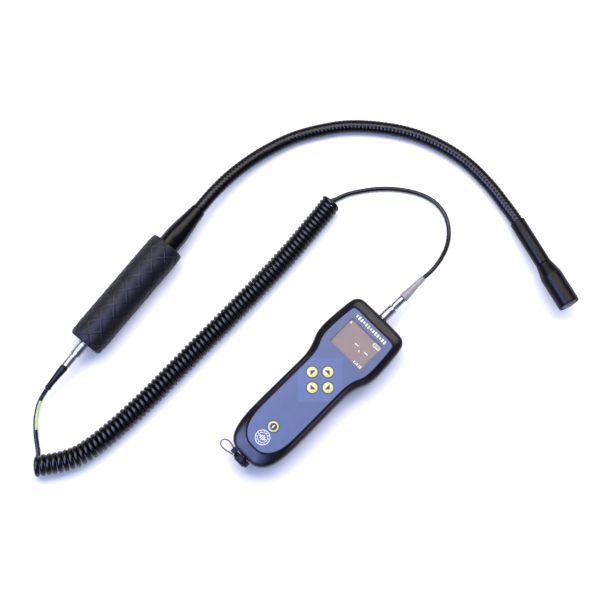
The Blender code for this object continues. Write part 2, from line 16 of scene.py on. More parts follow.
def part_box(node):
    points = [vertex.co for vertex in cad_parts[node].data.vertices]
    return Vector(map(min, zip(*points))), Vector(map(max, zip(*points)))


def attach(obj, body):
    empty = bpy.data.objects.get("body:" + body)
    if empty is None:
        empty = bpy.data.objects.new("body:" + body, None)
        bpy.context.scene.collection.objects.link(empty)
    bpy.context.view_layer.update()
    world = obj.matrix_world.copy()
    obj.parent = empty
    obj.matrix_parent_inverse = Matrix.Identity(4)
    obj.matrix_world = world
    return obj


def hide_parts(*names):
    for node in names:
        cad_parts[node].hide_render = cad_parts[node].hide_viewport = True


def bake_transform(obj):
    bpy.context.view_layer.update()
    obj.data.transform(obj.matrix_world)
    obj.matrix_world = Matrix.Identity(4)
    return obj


bl_info = {
    "name": "Ultrasonic Leak Detector",
    "version": (1, 0, 0),
    "blender": (4, 5, 0),
    "location": "View3D > Sidebar > Detector",
    "description": "Builds the fine surfaces of a meter, its curly cable and its gooseneck probe",
    "category": "Object",
}

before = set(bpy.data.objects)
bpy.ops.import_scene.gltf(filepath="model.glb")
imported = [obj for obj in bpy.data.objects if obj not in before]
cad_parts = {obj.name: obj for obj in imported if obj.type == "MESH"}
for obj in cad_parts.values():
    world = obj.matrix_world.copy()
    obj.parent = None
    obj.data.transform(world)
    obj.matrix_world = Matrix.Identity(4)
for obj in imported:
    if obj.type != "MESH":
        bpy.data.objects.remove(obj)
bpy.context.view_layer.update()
MM = 0.001

# ---- meter outlines in millimetres, the right half from the connector end to the cap end ----
CASE_OUTLINE = [
    (0, 113), (16, 113), (31, 112.2), (38, 107.5), (40.8, 99), (42.4, 84), (43.6, 66), (43.4, 56),
    (41.6, 46), (37.4, 35.5), (34.4, 25), (33.5, 12), (33.8, -20), (34, -58), (33.3, -78),
    (30.6, -94), (25.4, -105), (16.5, -111.8), (8, -113),
]
PANEL_OUTLINE = [
    (0, 99.2), (14, 99.2), (27, 99), (32, 96.5), (33.2, 91), (34.4, 79), (35.2, 63), (34.9, 53.5),
    (33.4, 45.5), (29.8, 37.2), (27.4, 27.5), (26.7, 13), (26.9, -20), (27, -54), (26.2, -70),
    (23.2, -82), (18, -90.5), (11, -95.8), (4.5, -97.4),
]
OUTLINE_STEPS = 7
FINE_CREASE = 28
KEY_NAMES = ("key_up", "key_down", "key_left", "key_right")
BADGE_Y = -82.6
STRIP_Y = 93.0
GAP = 0.0003

# ---- plugs: distances outwards from the panel they push into ----
SLEEVE_END = 0.0182
CLAMP_END = 0.0345
BOOT_END = 0.0690

# ---- handle, gooseneck and head ----
HANDLE_REAR = (-0.2247, -0.152, 0.022)
HANDLE_TURN = radians(5.5)
GRIP_LENGTH = 0.150
GRIP_PROFILE = [
    (18.6, 0), (20.1, 1.4), (20.8, 6), (21.3, 22), (21.3, 75), (21.3, 128), (20.9, 143), (20.2, 148.8),
    (19, 150),
]
GRIP_LEADS = 6
NECK_RADIUS = 0.00775
NECK_PIVOTS = [0.062, 0.140, 0.218, 0.296, 0.374, 0.452]
HEAD_START = (0.031, 0.3107, 0.012)
HEAD_TURN = radians(-16.5)
HEAD_TILT = radians(9)
HEAD_BASE = 0.0603

# ---- routes through chosen points, in millimetres ----
METER_LEAD_ROUTE = [
    (0.3, 182.4, 22), (0.9, 192, 21.6), (0.4, 203, 20.2), (-1.8, 215, 17), (-6.2, 228.2, 12.4),
    (-13.6, 240.8, 8), (-24, 251.4, 4.6), (-36.8, 258.5, 3), (-51, 261, 2.6), (-65, 259, 2.6),
    (-78, 253.8, 2.6), (-90.2, 246.3, 2.6), (-101.4, 237.6, 2.6), (-111.6, 227.8, 2.6),
    (-120.8, 217, 2.6), (-129, 205.4, 2.6), (-136.4, 193, 2.6),
]
COIL_ROUTE = [
    (-142.4, 177), (-139, 158), (-136, 128), (-133.2, 98), (-131.2, 62), (-130, 22), (-129.2, -20),
    (-128.8, -62), (-128.2, -102), (-127.6, -140), (-128.4, -176), (-130.4, -208), (-135, -240),
    (-144, -262.8), (-163.6, -292),
]
HANDLE_LEAD_ROUTE = [
    (-218.0, -220.6, 15.9), (-216.6, -229, 13), (-214, -237.6, 10.3), (-209.8, -246, 7.6),
    (-204, -254.3, 5.3), (-197, -261.4, 3.6), (-189.8, -267.8, 2.8), (-182.2, -273.4, 2.6),
    (-175.4, -278, 2.6), (-170.6, -282.8, 2.6), (-167.6, -288.6, 2.6),
]
HANDLE_BOOT_ROUTE = [
    (-221.37, -186.64, 22), (-220.4, -196.8, 21.6), (-219.3, -208, 19.7), (-218.1, -219.9, 16.2),
]
NECK_ROUTE = [
    (-241.57, 23.2, 22), (-244.5, 53.6, 22), (-247, 80, 21), (-247.6, 110, 17.5), (-244.8, 140, 13.5),
    (-239, 168, 10.3), (-229.6, 196, 8.6), (-215, 223, 8.1), (-194, 252, 8.1), (-167, 277, 8.1),
    (-135.5, 298.5, 8.1), (-100, 313.5, 8.1), (-62.5, 321, 8.1), (-25, 320.6, 8.3), (6, 316, 9.6),
    (31, 310.7, 12), (42.4, 307.3, 13.9),
]
WIRE_ROUTE = [
    (-15.9, -114.5, 22), (-19, -113.3, 22), (-23.5, -112.6, 21.4), (-28.2, -113.2, 20.6),
    (-31.6, -116.2, 20), (-31.2, -120.4, 20), (-27, -122.8, 20.4), (-21, -122.6, 21.2),
    (-15.6, -121.2, 21.8), (-10.9, -120.2, 22),
]


# ---------------------------------------------------------------- settings a user would change

def linear(hex_colour):
    """An sRGB hex colour as linear RGBA."""
    channels = [int(hex_colour[i:i + 2], 16) / 255 for i in (1, 3, 5)]
    curve = [c / 12.92 if c <= 0.04045 else ((c + 0.055) / 1.055) ** 2.4 for c in channels]
    return (*curve, 1.0)


def colour_choice(label, hex_colour):
    return FloatVectorProperty(name=label, description=f"Colour of the {label.lower()}", size=4,
                               subtype="COLOR", min=0, max=1, default=linear(hex_colour))


def size_choice(label, text, metres):
    return FloatProperty(name=label, description=text, default=metres, min=0, subtype="DISTANCE",
                         unit="LENGTH", precision=5)


class DetectorColours(PropertyGroup):
    case: colour_choice("Case", "#0a090b")
    film: colour_choice("Keypad film", "#374a73")
    film_light: colour_choice("Keypad film square", "#3d5482")
    key: colour_choice("Keys", "#c9c57e")
    symbol: colour_choice("Key symbols", "#33272f")
    display: colour_choice("Display", "#5b3b28")
    cable: colour_choice("Cable", "#050506")
    marker: colour_choice("Marker sleeve", "#c4cc86")
    boot: colour_choice("Clear boot", "#8b8a8d")
    grip: colour_choice("Grip", "#0c0c0e")


class DetectorSizes(PropertyGroup):
    cord_radius: size_choice("Cord radius", "Half the cable's thickness", 0.0026)
    coil_radius: size_choice("Coil radius", "Middle of the cord to the middle of its coil", 0.0098)
    pitch_start: size_choice("Upper pitch", "Distance between turns at the meter's end", 0.0052)
    pitch_end: size_choice("Lower pitch", "Distance between turns at the handle's end", 0.0068)
    rib_pitch: size_choice("Rib pitch", "Distance between the gooseneck's ribs", 0.0045)
    rib_depth: size_choice("Rib depth", "Depth of the grooves between those ribs", 0.00045)
    lozenge: size_choice("Lozenge", "Length of one lozenge along the grip", 0.0225)
    ridge: size_choice("Ridge height", "Height of the ridges around each lozenge", 0.0008)
    knurl_count: IntProperty(name="Knurl count", description="Knurls around a plug's sleeve",
                             default=30, min=8, max=80)
    camera_distance: size_choice("Camera distance", "From the camera to the middle of the view", 1.60)
    view_width: size_choice("View width", "Width of floor in view", 0.711)
    key_light: FloatProperty(name="Key light", description="Power of the large soft light",
                             default=58.0, min=0, subtype="POWER", unit="POWER")
    fill_light: FloatProperty(name="Fill light",
                              description="Power of the bluish light that shows only in glossy surfaces",
                              default=66.0, min=0, subtype="POWER", unit="POWER")


# ---------------------------------------------------------------- shapes

def spline(points, steps, closed=False):
    """Points along a smooth curve through the given ones, with that many steps in each span."""
    known = [Vector(p) for p in points]
    count = len(known)
    made = []
    for i in range(count if closed else count - 1):
        before = known[i - 1] if closed or i else known[0] * 2 - known[1]
        start = known[i]
        end = known[(i + 1) % count]
        last = known[(i + 2) % count] if closed or i + 2 < count else end * 2 - start
        for k in range(steps):
            t = k / steps
            made.append(0.5 * (2 * start + (end - before) * t
                               + (2 * before - 5 * start + 4 * end - last) * t ** 2
                               + (3 * start - before - 3 * end + last) * t ** 3))
    if not closed:
        made.append(known[-1])
    return made


class Route:
    """A smooth line through millimetre points, read at any distance along it in metres."""

    def __init__(self, points, steps=12):
        self.points = [p * MM for p in spline(points, steps)]
        self.reach = [0.0]
        for a, b in zip(self.points, self.points[1:]):
            self.reach.append(self.reach[-1] + (b - a).length)
        self.length = self.reach[-1]
        self.found = 0

    def at(self, distance):
        distance = min(max(distance, 0.0), self.length)
        i = self.found if self.reach[self.found] <= distance else 0
        while i < len(self.reach) - 2 and self.reach[i + 1] < distance:
            i += 1
        self.found = i
        share = (distance - self.reach[i]) / (self.reach[i + 1] - self.reach[i])
        return self.points[i].lerp(self.points[i + 1], share)

    def direction(self, distance, reach=0.002):
        return (self.at(distance + reach) - self.at(distance - reach)).normalized()

    def sides(self, distance):
        """The level sideways direction and the upward one, square to the line."""
        along = self.direction(distance)
        side = along.cross(Vector((0, 0, 1))).normalized()
        return side, side.cross(along)

    def ring(self, distance, radius, count):
        """A ring around the line; radius is a number, or a function of the angle."""
        centre = self.at(distance)
        side, up = self.sides(distance)
        made = []
        for i in range(count):
            angle = 2 * pi * i / count
            reach = radius(angle) if callable(radius) else radius
            made.append(centre + reach * (cos(angle) * side + sin(angle) * up))
        return made


def eased(points, reach, steps=3, loop=False):
    """The same points with each corner rounded off over that reach."""
    known = [Vector(p) for p in points]
    count = len(known)
    made = []
    for i, corner in enumerate(known):
        if not loop and i in (0, count - 1):
            made.append(corner)
            continue
        back = known[i - 1] - corner
        ahead = known[(i + 1) % count] - corner
        start = corner + back.normalized() * min(reach, 0.45 * back.length)
        end = corner + ahead.normalized() * min(reach, 0.45 * ahead.length)
        for k in range(steps + 1):
            t = k / steps
            made.append(start.lerp(corner, t).lerp(corner.lerp(end, t), t))
    return made


def skin(name, shells, finish, crease=35):
    """A mesh object over shells, each of them (rings of points, whether it closes on itself)."""
    points = []
    faces = []
    for rings, loop in shells:
        firsts = []
        for ring in rings:
            firsts.append(len(points))
            points += ring
        pairs = [(k, k + 1) for k in range(len(rings) - 1)]
        if loop:
            pairs.append((len(rings) - 1, 0))
        for a, b in pairs:
            count = max(len(rings[a]), len(rings[b]))
            for i in range(count):
                j = (i + 1) % count
                corners = [firsts[a] + i % len(rings[a]), firsts[a] + j % len(rings[a])]
                corners += [firsts[b] + j % len(rings[b]), firsts[b] + i % len(rings[b])]
                faces.append(list(dict.fromkeys(corners)))
        if not loop:
            for first, ring in ((firsts[0], rings[0]), (firsts[-1], rings[-1])):
                if len(ring) > 1:
                    faces.append([first + i for i in range(len(ring))])
    mesh = bpy.data.meshes.new(name)
    mesh.from_pydata(points, [], faces)
    shape = bmesh.new()
    shape.from_mesh(mesh)
    bmesh.ops.recalc_face_normals(shape, faces=shape.faces)
    shape.to_mesh(mesh)
    shape.free()
    return show(name, mesh, finish, crease)


def smooth(mesh, crease):
    """Smooth shading that keeps every edge sharper than the crease angle, in degrees."""
    mesh.shade_smooth()
    mesh.set_sharp_from_angle(angle=radians(crease))


def show(name, mesh, finish, crease=35):
    smooth(mesh, crease)
    if finish:
        mesh.materials.append(finish)
    made = bpy.data.objects.new(name, mesh)
    bpy.context.scene.collection.objects.link(made)
    return made


def turned(name, profile, place, finish, sides=48, loop=False, swell=None, crease=35):
    """A round piece about local Y at that place, from (radius, distance along) points."""
    rings = []
    for radius, along in profile:
        if radius == 0:
            rings.append([place @ Vector((0, along, 0))])
            continue
        ring = []
        for i in range(sides):
            angle = 2 * pi * i / sides
            reach = radius + (swell(angle, along) if swell else 0)
            ring.append(place @ Vector((reach * cos(angle), along, reach * sin(angle))))
        rings.append(ring)
    return skin(name, [(rings, loop)], finish, crease)


def carve(target, tool, operation="DIFFERENCE"):
    """Cuts the tool out of the target, or adds it, for good."""
    step = target.modifiers.new("carve", "BOOLEAN")
    step.operation = operation
    step.object = tool
    graph = bpy.context.evaluated_depsgraph_get()
    mesh = bpy.data.meshes.new_from_object(target.evaluated_get(graph))
    target.modifiers.clear()
    target.data = mesh
    bpy.data.objects.remove(tool)
    return target


def placed(location, turn=0.0, tilt=0.0):
    """The frame of a piece that runs along its own Y, turned about Z and tilted upwards."""
    return Matrix.LocRotScale(Vector(location), Euler((tilt, 0, turn)), None)


def full_outline(half):
    """The smooth closed outline, in millimetres, of a half given by its corner points."""
    left = [(-x, y) for x, y in reversed(half) if x > 0]
    return spline(half + left, OUTLINE_STEPS, closed=True)


def inset(outline, distance):
    """The outline moved inwards by a distance in millimetres."""
    moved = []
    for i, point in enumerate(outline):
        along = (outline[(i + 1) % len(outline)] - outline[i - 1]).normalized()
        moved.append(point + Vector((along.y, -along.x)) * distance)
    return moved


def level(outline, height):
    """A flat millimetre outline as a ring of points in metres at that height."""
    return [Vector((p[0], p[1], height)) * MM for p in outline]


def flowing(stations, steps=4):
    """Rings that run smoothly through the given ones."""
    columns = [spline(column, steps) for column in zip(*stations)]
    return [list(ring) for ring in zip(*columns)]


def slab(outline, low, high):
    """The shell of a flat plate of that outline between two heights."""
    return [level(outline, low), level(outline, high)], False


def hoop(x, y, inner, outer, low, high, sides=48):
    """A flat ring standing between two levels, all in millimetres."""
    rings = []
    for radius, height in ((outer, low), (outer, high), (inner, high), (inner, low)):
        rings.append(level(disc(x, y, radius, sides), height))
    return rings, True


def disc(x, y, radius, sides=32):
    angles = [2 * pi * i / sides for i in range(sides)]
    return [(x + radius * cos(angle), y + radius * sin(angle)) for angle in angles]


def plate(x, y, width, height, corner=0.3):
    """A rectangle with rounded corners, about its middle."""
    signs = ((-1, -1), (1, -1), (1, 1), (-1, 1))
    corners = [(x + sx * width / 2, y + sy * height / 2) for sx, sy in signs]
    return eased(corners, corner, 4, loop=True)


def middle(node):
    """The middle of a node's box, in metres."""
    low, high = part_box(node)
    return (low + high) / 2


def install(made, body, *nodes, slot=None):
    """Puts a piece on its body, in place of the plain nodes that it stands for."""
    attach(made, body)
    if nodes:
        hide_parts(*nodes)
    return made


# ---------------------------------------------------------------- materials

def node(tree, kind, inputs=None, **settings):
    """Adds a shader node with its settings; each input is a value, or the socket that feeds it."""
    made = tree.nodes.new("ShaderNode" + kind)
    for name, value in settings.items():
        setattr(made, name, value)
    for name, value in (inputs or {}).items():
        if isinstance(value, bpy.types.NodeSocket):
            tree.links.new(value, made.inputs[name])
        else:
            made.inputs[name].default_value = value
    return made


def started(name, colour, roughness, metallic=0.0, **more):
    """A new material with those values on its shader: (material, node tree, shader)."""
    made = bpy.data.materials.new(name)
    made.use_nodes = True
    shader = made.node_tree.nodes["Principled BSDF"]
    values = {"Base Color": colour, "Roughness": roughness, "Metallic": metallic}
    values.update({key.replace("_", " ").title().replace("Ior", "IOR"): more[key] for key in more})
    for socket, value in values.items():
        shader.inputs[socket].default_value = value
    return made, made.node_tree, shader


def speckle(tree, size_mm, detail=2.0):
    """Noise whose blotches are about that many millimetres across."""
    place = node(tree, "TexCoord").outputs["Object"]
    inputs = {"Vector": place, "Scale": 1 / (size_mm * MM), "Detail": detail}
    return node(tree, "TexNoise", inputs).outputs["Fac"]


def spread(tree, factor, low, high):
    """The factor's usual range stretched to lie between two values."""
    inputs = {"Value": factor, "From Min": 0.3, "From Max": 0.7, "To Min": low, "To Max": high}
    return node(tree, "MapRange", inputs).outputs["Result"]


def blended(tree, factor, first, second):
    inputs = {0: factor, 6: first, 7: second}
    return node(tree, "Mix", inputs, data_type="RGBA").outputs[2]


def raised(tree, shader, height, depth_mm, strength=1.0):
    """Feeds a height, in shares of that depth, to the shader as relief."""
    inputs = {"Height": height, "Distance": depth_mm * MM, "Strength": strength}
    bump = node(tree, "Bump", inputs)
    tree.links.new(bump.outputs["Normal"], shader.inputs["Normal"])


def shade(colour, share):
    return (*[channel * share for channel in colour[:3]], 1.0)


def weathered(tree, shader, colour, size_mm, shares, roughness):
    """Slow variation of colour and of roughness over the surface."""
    patches = speckle(tree, size_mm, 3.0)
    factor = spread(tree, patches, 0.0, 1.0)
    tree.links.new(blended(tree, factor, shade(colour, shares[0]), shade(colour, shares[1])),
                   shader.inputs["Base Color"])
    tree.links.new(spread(tree, patches, *roughness), shader.inputs["Roughness"])


def patchy(name, colour, patch_mm, shares, roughness, grain=None, **more):
    """A new material: colour and roughness drift in patches, over a relief of (grain, depth) in mm."""
    made, tree, shader = started(name, colour, sum(roughness) / 2, **more)
    weathered(tree, shader, colour, patch_mm, shares, roughness)
    if grain:
        raised(tree, shader, speckle(tree, grain[0]), grain[1])
    return made


def moulded_abs(colour):
    """ABS, injection moulded in a spark-eroded tool: an even satin with a very fine grain."""
    return patchy("moulded_abs", colour, 9, (0.85, 1.2), (0.32, 0.40), (0.35, 0.018),
                  ior=1.53, specular_ior_level=0.28)


def printed_polyester(colours):
    """Polyester film, screen printed on its back: a fine velvet face over a flat even ink.

    A lighter square stands on its corner around the four arrow keys.
    """
    made, tree, shader = started("printed_polyester", colours.film, 0.42, ior=1.57)
    place = node(tree, "SeparateXYZ", {0: node(tree, "TexCoord").outputs["Object"]}).outputs
    pad_y = middle("key_left").y
    half_diagonal = 35.5 * MM
    across = node(tree, "Math", {0: place["X"]}, operation="ABSOLUTE").outputs[0]
    shifted = node(tree, "Math", {0: place["Y"], 1: pad_y}, operation="SUBTRACT").outputs[0]
    along = node(tree, "Math", {0: shifted}, operation="ABSOLUTE").outputs[0]
    reach = node(tree, "Math", {0: across, 1: along}, operation="ADD").outputs[0]
    square = node(tree, "Math", {0: reach, 1: half_diagonal}, operation="LESS_THAN").outputs[0]
    ink = blended(tree, square, colours.film, colours.film_light)
    patches = spread(tree, speckle(tree, 14, 3.0), 0.0, 0.16)
    tree.links.new(blended(tree, patches, ink, linear("#4f5e84")), shader.inputs["Base Color"])
    tree.links.new(spread(tree, speckle(tree, 3), 0.38, 0.48), shader.inputs["Roughness"])
    raised(tree, shader, speckle(tree, 0.4), 0.012)
    return made


def screen_ink(name, colour, roughness=0.45):
    """Screen-printing ink, a solid satin layer with faint mesh marks."""
    return patchy(name, colour, 1.5, (0.94, 1.04), (roughness - 0.05, roughness + 0.07), (0.3, 0.01))


def clear_acrylic():
    """Cast acrylic, polished: almost nothing but its own reflections."""
    made, tree, shader = started("clear_acrylic", linear("#e9e6e6"), 0.06, alpha=0.10, ior=1.49)
    tree.links.new(spread(tree, speckle(tree, 6), 0.04, 0.09), shader.inputs["Roughness"])
    return made


def display_glass(colour):
    """Liquid-crystal glass behind a polariser: a flat warm brown with a slight silk."""
    return patchy("display_glass", colour, 16, (0.93, 1.08), (0.28, 0.36), (0.5, 0.006), ior=1.5)


def silicone_key(colour):
    """Silicone rubber, moulded: soft light edges and a dry low sheen."""
    return patchy("silicone_key", colour, 3, (0.95, 1.03), (0.46, 0.56), (0.25, 0.012),
                  ior=1.41, subsurface_weight=0.12, subsurface_scale=0.001)


def grey_silicone():
    """Silicone sheet, pressed: dull mid grey with a little dust."""
    return patchy("grey_silicone", linear("#4c4c4e"), 4, (0.85, 1.1), (0.55, 0.68), (0.4, 0.02), ior=1.41)


def chromed_brass():
    """Brass, turned and chrome plated: a pale grey metal with broad soft highlights."""
    return patchy("chromed_brass", linear("#a6a6aa"), 5, (0.96, 1.0), (0.28, 0.33), metallic=1.0)


def zinc_steel():
    """Steel screws, rolled and zinc plated: a greyish metal with small dull spots."""
    return patchy("zinc_steel", linear("#b9bbbe"), 1.2, (0.8, 1.0), (0.26, 0.42), (0.3, 0.006),
                  metallic=1.0)


def clear_vinyl(colour):
    """Plasticised PVC, moulded clear: milky grey where it is thick, with a wet gloss."""
    return patchy("clear_vinyl", colour, 5, (0.92, 1.05), (0.24, 0.36), (1.5, 0.02),
                  ior=1.53, subsurface_weight=0.55, subsurface_scale=0.004, alpha=0.86)


def cable_jacket(colour):
    """Polyurethane cable jacket, extruded: a dark semi-gloss that catches a thin line of light."""
    return patchy("cable_jacket", colour, 4, (0.8, 1.35), (0.24, 0.32), (0.5, 0.012),
                  ior=1.5, specular_ior_level=0.34)


def moulded_polyolefin(colour):
    """Polyolefin marker, moulded and clipped on the cable: pale, with slight waves along it."""
    return patchy("moulded_polyolefin", colour, 4, (0.9, 1.05), (0.32, 0.45), (2.0, 0.05),
                  ior=1.5, subsurface_weight=0.1, subsurface_scale=0.001)


def moulded_rubber():
    """EPDM rubber, moulded: deep black with a low sheen, a little greyer in patches."""
    return patchy("moulded_rubber", linear("#0a0a0c"), 5, (0.8, 1.5), (0.4, 0.5), (0.4, 0.03),
                  ior=1.5, specular_ior_level=0.2)


def grip_rubber(colour, sizes):
    """Thermoplastic rubber, moulded: dry between the ridges, rubbed smoother along them.

    A fine line hatch follows one side of each lozenge. The real one is finer than the render can
    show, so 14 lines are drawn to a lozenge.
    """
    made, tree, shader = started("grip_rubber", colour, 0.5, ior=1.5, specular_ior_level=0.26)
    weathered(tree, shader, colour, 8, (0.8, 1.25), (0.4, 0.5))
    place = node(tree, "TexCoord").outputs["Object"]
    own = node(tree, "Mapping", {"Vector": place, "Location": HANDLE_REAR, "Rotation": (0, 0, HANDLE_TURN)},
               vector_type="TEXTURE").outputs[0]
    axes = node(tree, "SeparateXYZ", {0: own}).outputs
    angle = node(tree, "Math", {0: axes["Z"], 1: axes["X"]}, operation="ARCTAN2").outputs[0]
    from_ridge = []
    for sense in (1, -1):
        along = node(tree, "Math", {0: axes["Y"], 1: sense / sizes.lozenge}, operation="MULTIPLY").outputs[0]
        phase = node(tree, "Math", {0: angle, 1: GRIP_LEADS / (2 * pi), 2: along}, operation="MULTIPLY_ADD")
        folded = node(tree, "Math", {0: phase.outputs[0], 1: 0.5}, operation="PINGPONG")
        from_ridge.append(folded.outputs[0])
    nearest = node(tree, "Math", {0: from_ridge[0], 1: from_ridge[1]}, operation="MINIMUM").outputs[0]
    polish = {"Value": nearest, "From Min": 0.02, "From Max": 0.07, "To Min": 0.32, "To Max": 0.52}
    tree.links.new(node(tree, "MapRange", polish).outputs["Result"], shader.inputs["Roughness"])
    lines_per_lozenge = 14
    around = node(tree, "Math", {0: phase.outputs[0], 1: 2 * pi * lines_per_lozenge}, operation="MULTIPLY")
    hatch = node(tree, "Math", {0: around.outputs[0]}, operation="SINE").outputs[0]
    grain = node(tree, "Math", {0: hatch, 1: 0.30, 2: speckle(tree, 0.5)}, operation="MULTIPLY_ADD")
    raised(tree, shader, grain.outputs[0], 0.10)
    return made


def gloss_enamel():
    """Brass cone in black stove enamel: near black with one soft long highlight."""
    return patchy("gloss_enamel", linear("#050505"), 7, (0.8, 1.3), (0.25, 0.31), (1.2, 0.006),
                  ior=1.52, specular_ior_level=0.15)


def black_nickel():
    """Steel hose, spiral wound and black-nickel plated: dark metal, bright on each rib."""
    return patchy("black_nickel", linear("#2c2b2c"), 4, (0.7, 1.15), (0.26, 0.34), (0.5, 0.008),
                  metallic=1.0)


def black_anodised():
    """Aluminium, turned and black anodised: an even satin black."""
    return patchy("black_anodised", linear("#070708"), 6, (0.8, 1.3), (0.30, 0.42), (0.4, 0.008),
                  ior=1.5, specular_ior_level=0.14)


def perforated_steel():
    """Stainless sheet, punched and brushed: mid grey with a soft gleam at each hole."""
    return patchy("perforated_steel", linear("#77797d"), 2, (0.8, 1.05), (0.3, 0.46), (0.3, 0.01),
                  metallic=1.0)


def stranded_steel():
    """Stainless wire rope in a dark clear coat: thin, dark grey and a little dull."""
    colour = linear("#4c4b4d")
    made, tree, shader = started("stranded_steel", colour, 0.36, metallic=1.0)
    weathered(tree, shader, colour, 1.5, (0.6, 1.1), (0.3, 0.5))
    place = node(tree, "TexCoord").outputs["Object"]
    strands = node(tree, "TexWave", {"Vector": place, "Scale": 260.0, "Distortion": 1.0},
                   bands_direction="DIAGONAL").outputs["Fac"]
    raised(tree, shader, strands, 0.12)
    return made


def circuit_board():
    """Glass-epoxy board under green solder mask, with the copper tracks showing through."""
    mask = linear("#1d6b34")
    made, tree, shader = started("circuit_board", mask, 0.35, ior=1.55)
    place = node(tree, "TexCoord").outputs["Object"]
    bricks = node(tree, "TexBrick", {"Vector": place, "Scale": 160.0, "Mortar Size": 0.05, "Color1": mask,
                                     "Color2": linear("#185c2d"), "Mortar": linear("#3f8f4d")})
    tree.links.new(bricks.outputs["Color"], shader.inputs["Base Color"])
    tree.links.new(spread(tree, speckle(tree, 2), 0.3, 0.45), shader.inputs["Roughness"])
    raised(tree, shader, bricks.outputs["Fac"], 0.03)
    return made


def cell_wrap():
    """PVC shrink wrap over the cells: glossy blue with shallow ripples."""
    return patchy("cell_wrap", linear("#2d5f86"), 9, (0.85, 1.1), (0.24, 0.38), (7, 0.2), ior=1.53)


def bare_metal(name, hex_colour, patch_mm):
    """Bar or tube stock as machined: a clean metal with light tool marks."""
    return patchy(name, linear(hex_colour), patch_mm, (0.85, 1.05), (0.28, 0.44), (0.5, 0.008),
                  metallic=1.0)


# ---------------------------------------------------------------- meter

def screw_places():
    return [middle(f"case_screw_{i + 1}") / MM for i in range(4)]


def rods(radius, low, high, places, sides=24):
    """Upright cylinders in millimetres, as shells."""
    return [slab(disc(p[0], p[1], radius, sides), low, high) for p in places]


def front_case(colours):
    """The black front half: bevelled rim, slope to the raised panel, and openings for what shows."""
    case = full_outline(CASE_OUTLINE)
    panel = full_outline(PANEL_OUTLINE)
    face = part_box("front_shell")[1].z / MM
    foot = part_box("front_shell")[0].z / MM
    rim = flowing([
        level(inset(panel, -0.35), face - 0.10), level(inset(panel, -1.6), face - 0.95),
        level(inset(case, 3.2), face - 3.8), level(inset(case, 0.9), face - 6.3),
        level(case, face - 10.3), level(case, 17),
    ])
    slope = [a.lerp(b, 0.5) for a, b in zip(inset(panel, -1), inset(case, 4.4))]
    rings = [level(inset(panel, 1.1), face), level(inset(panel, 0.75), face + 0.3)]
    rings += [level(inset(panel, 0.35), face + 0.35), level(inset(panel, 0), face + 0.15)] + rim
    rings += [level(case, foot + 0.7), level(inset(case, 0.12), foot + 0.25), level(inset(case, 0.4), foot)]
    rings += [
        level(inset(case, 2.6), foot), level(inset(case, 2.4), 27.5), level(inset(case, 3.6), 31),
        level(slope, 34.2), level(inset(panel, 1.2), face - 2.4),
    ]
    shell = skin("front_case", [(rings, False)], moulded_abs(colours.case), FINE_CREASE)
    posts = skin("posts", rods(3.8, 12.1, face - 2.2, screw_places()), None)
    carve(shell, posts, "UNION")
    keys = [middle(name) / MM for name in (*KEY_NAMES, "key_power")]
    window = middle("lcd_window") / MM
    holes = rods(6.6, 34, 41, keys, 48) + rods(1.75, 11, 19, screw_places())
    holes.append(slab(plate(window.x, window.y, 50, 38, 1.2), 34, 42))
    carve(shell, skin("holes", holes, None))
    for name in ("meter_socket", "charge_socket"):
        port = placed(middle(name))
        tool = turned("port", [(0, -0.012), (0.0064, -0.012), (0.0064, 0.012), (0, 0.012)], port, None)
        carve(shell, tool)
    smooth(shell.data, FINE_CREASE)
    return install(shell, "root", "front_shell", slot="case_black")


def rear_case(finish):
    """The black back half, with four screw posts and a shallow label recess underneath."""
    case = full_outline(CASE_OUTLINE)
    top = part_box("rear_shell")[1].z / MM
    rings = [level(inset(case, 7.5), 0)]
    rings += flowing([
        level(inset(case, 6), 0), level(inset(case, 3.2), 1.2), level(inset(case, 1.2), 4.2),
        level(inset(case, 0.5), 8.5), level(inset(case, 0.4), top - 0.3),
    ])
    rings += [
        level(inset(case, 0.6), top), level(inset(case, 2.6), top), level(inset(case, 3.4), 6),
        level(inset(case, 6.6), 2.7),
    ]
    shell = skin("rear_case", [(rings, False)], finish, FINE_CREASE)
    carve(shell, skin("posts", rods(4.2, 1.5, 11.5, screw_places()), None), "UNION")
    tools = rods(1.8, -1, 13, screw_places())
    carve(shell, skin("holes", tools, None))
    tools = rods(3.4, -1, 2.4, screw_places(), 40)
    tools.append(slab(plate(0, -28, 44, 62, 3), -1, 0.35))
    carve(shell, skin("recesses", tools, None))
    smooth(shell.data, FINE_CREASE)
    return install(shell, "root", "rear_shell", slot="case_black")


def keypad_film(colours):
    """The printed film, a little smaller than the raised panel that it is stuck to."""
    margin = 0.9
    low, high = (corner.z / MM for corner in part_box("keypad_overlay"))
    film = inset(full_outline(PANEL_OUTLINE), margin)
    rings = [level(film, low), level(film, high - 0.15), level(inset(film, 0.15), high)]
    made = skin("keypad_film", [(rings, False)], printed_polyester(colours))
    keys = [middle(name) / MM for name in (*KEY_NAMES, "key_power")]
    window = middle("lcd_window") / MM
    holes = rods(6.6, low - 1, high + 1, keys, 64)
    holes.append(slab(plate(window.x, window.y, 49, 37, 0.9), low - 1, high + 1))
    carve(made, skin("holes", holes, None))
    smooth(made.data, FINE_CREASE)
    return install(made, "root", "keypad_overlay", slot="overlay_blue")


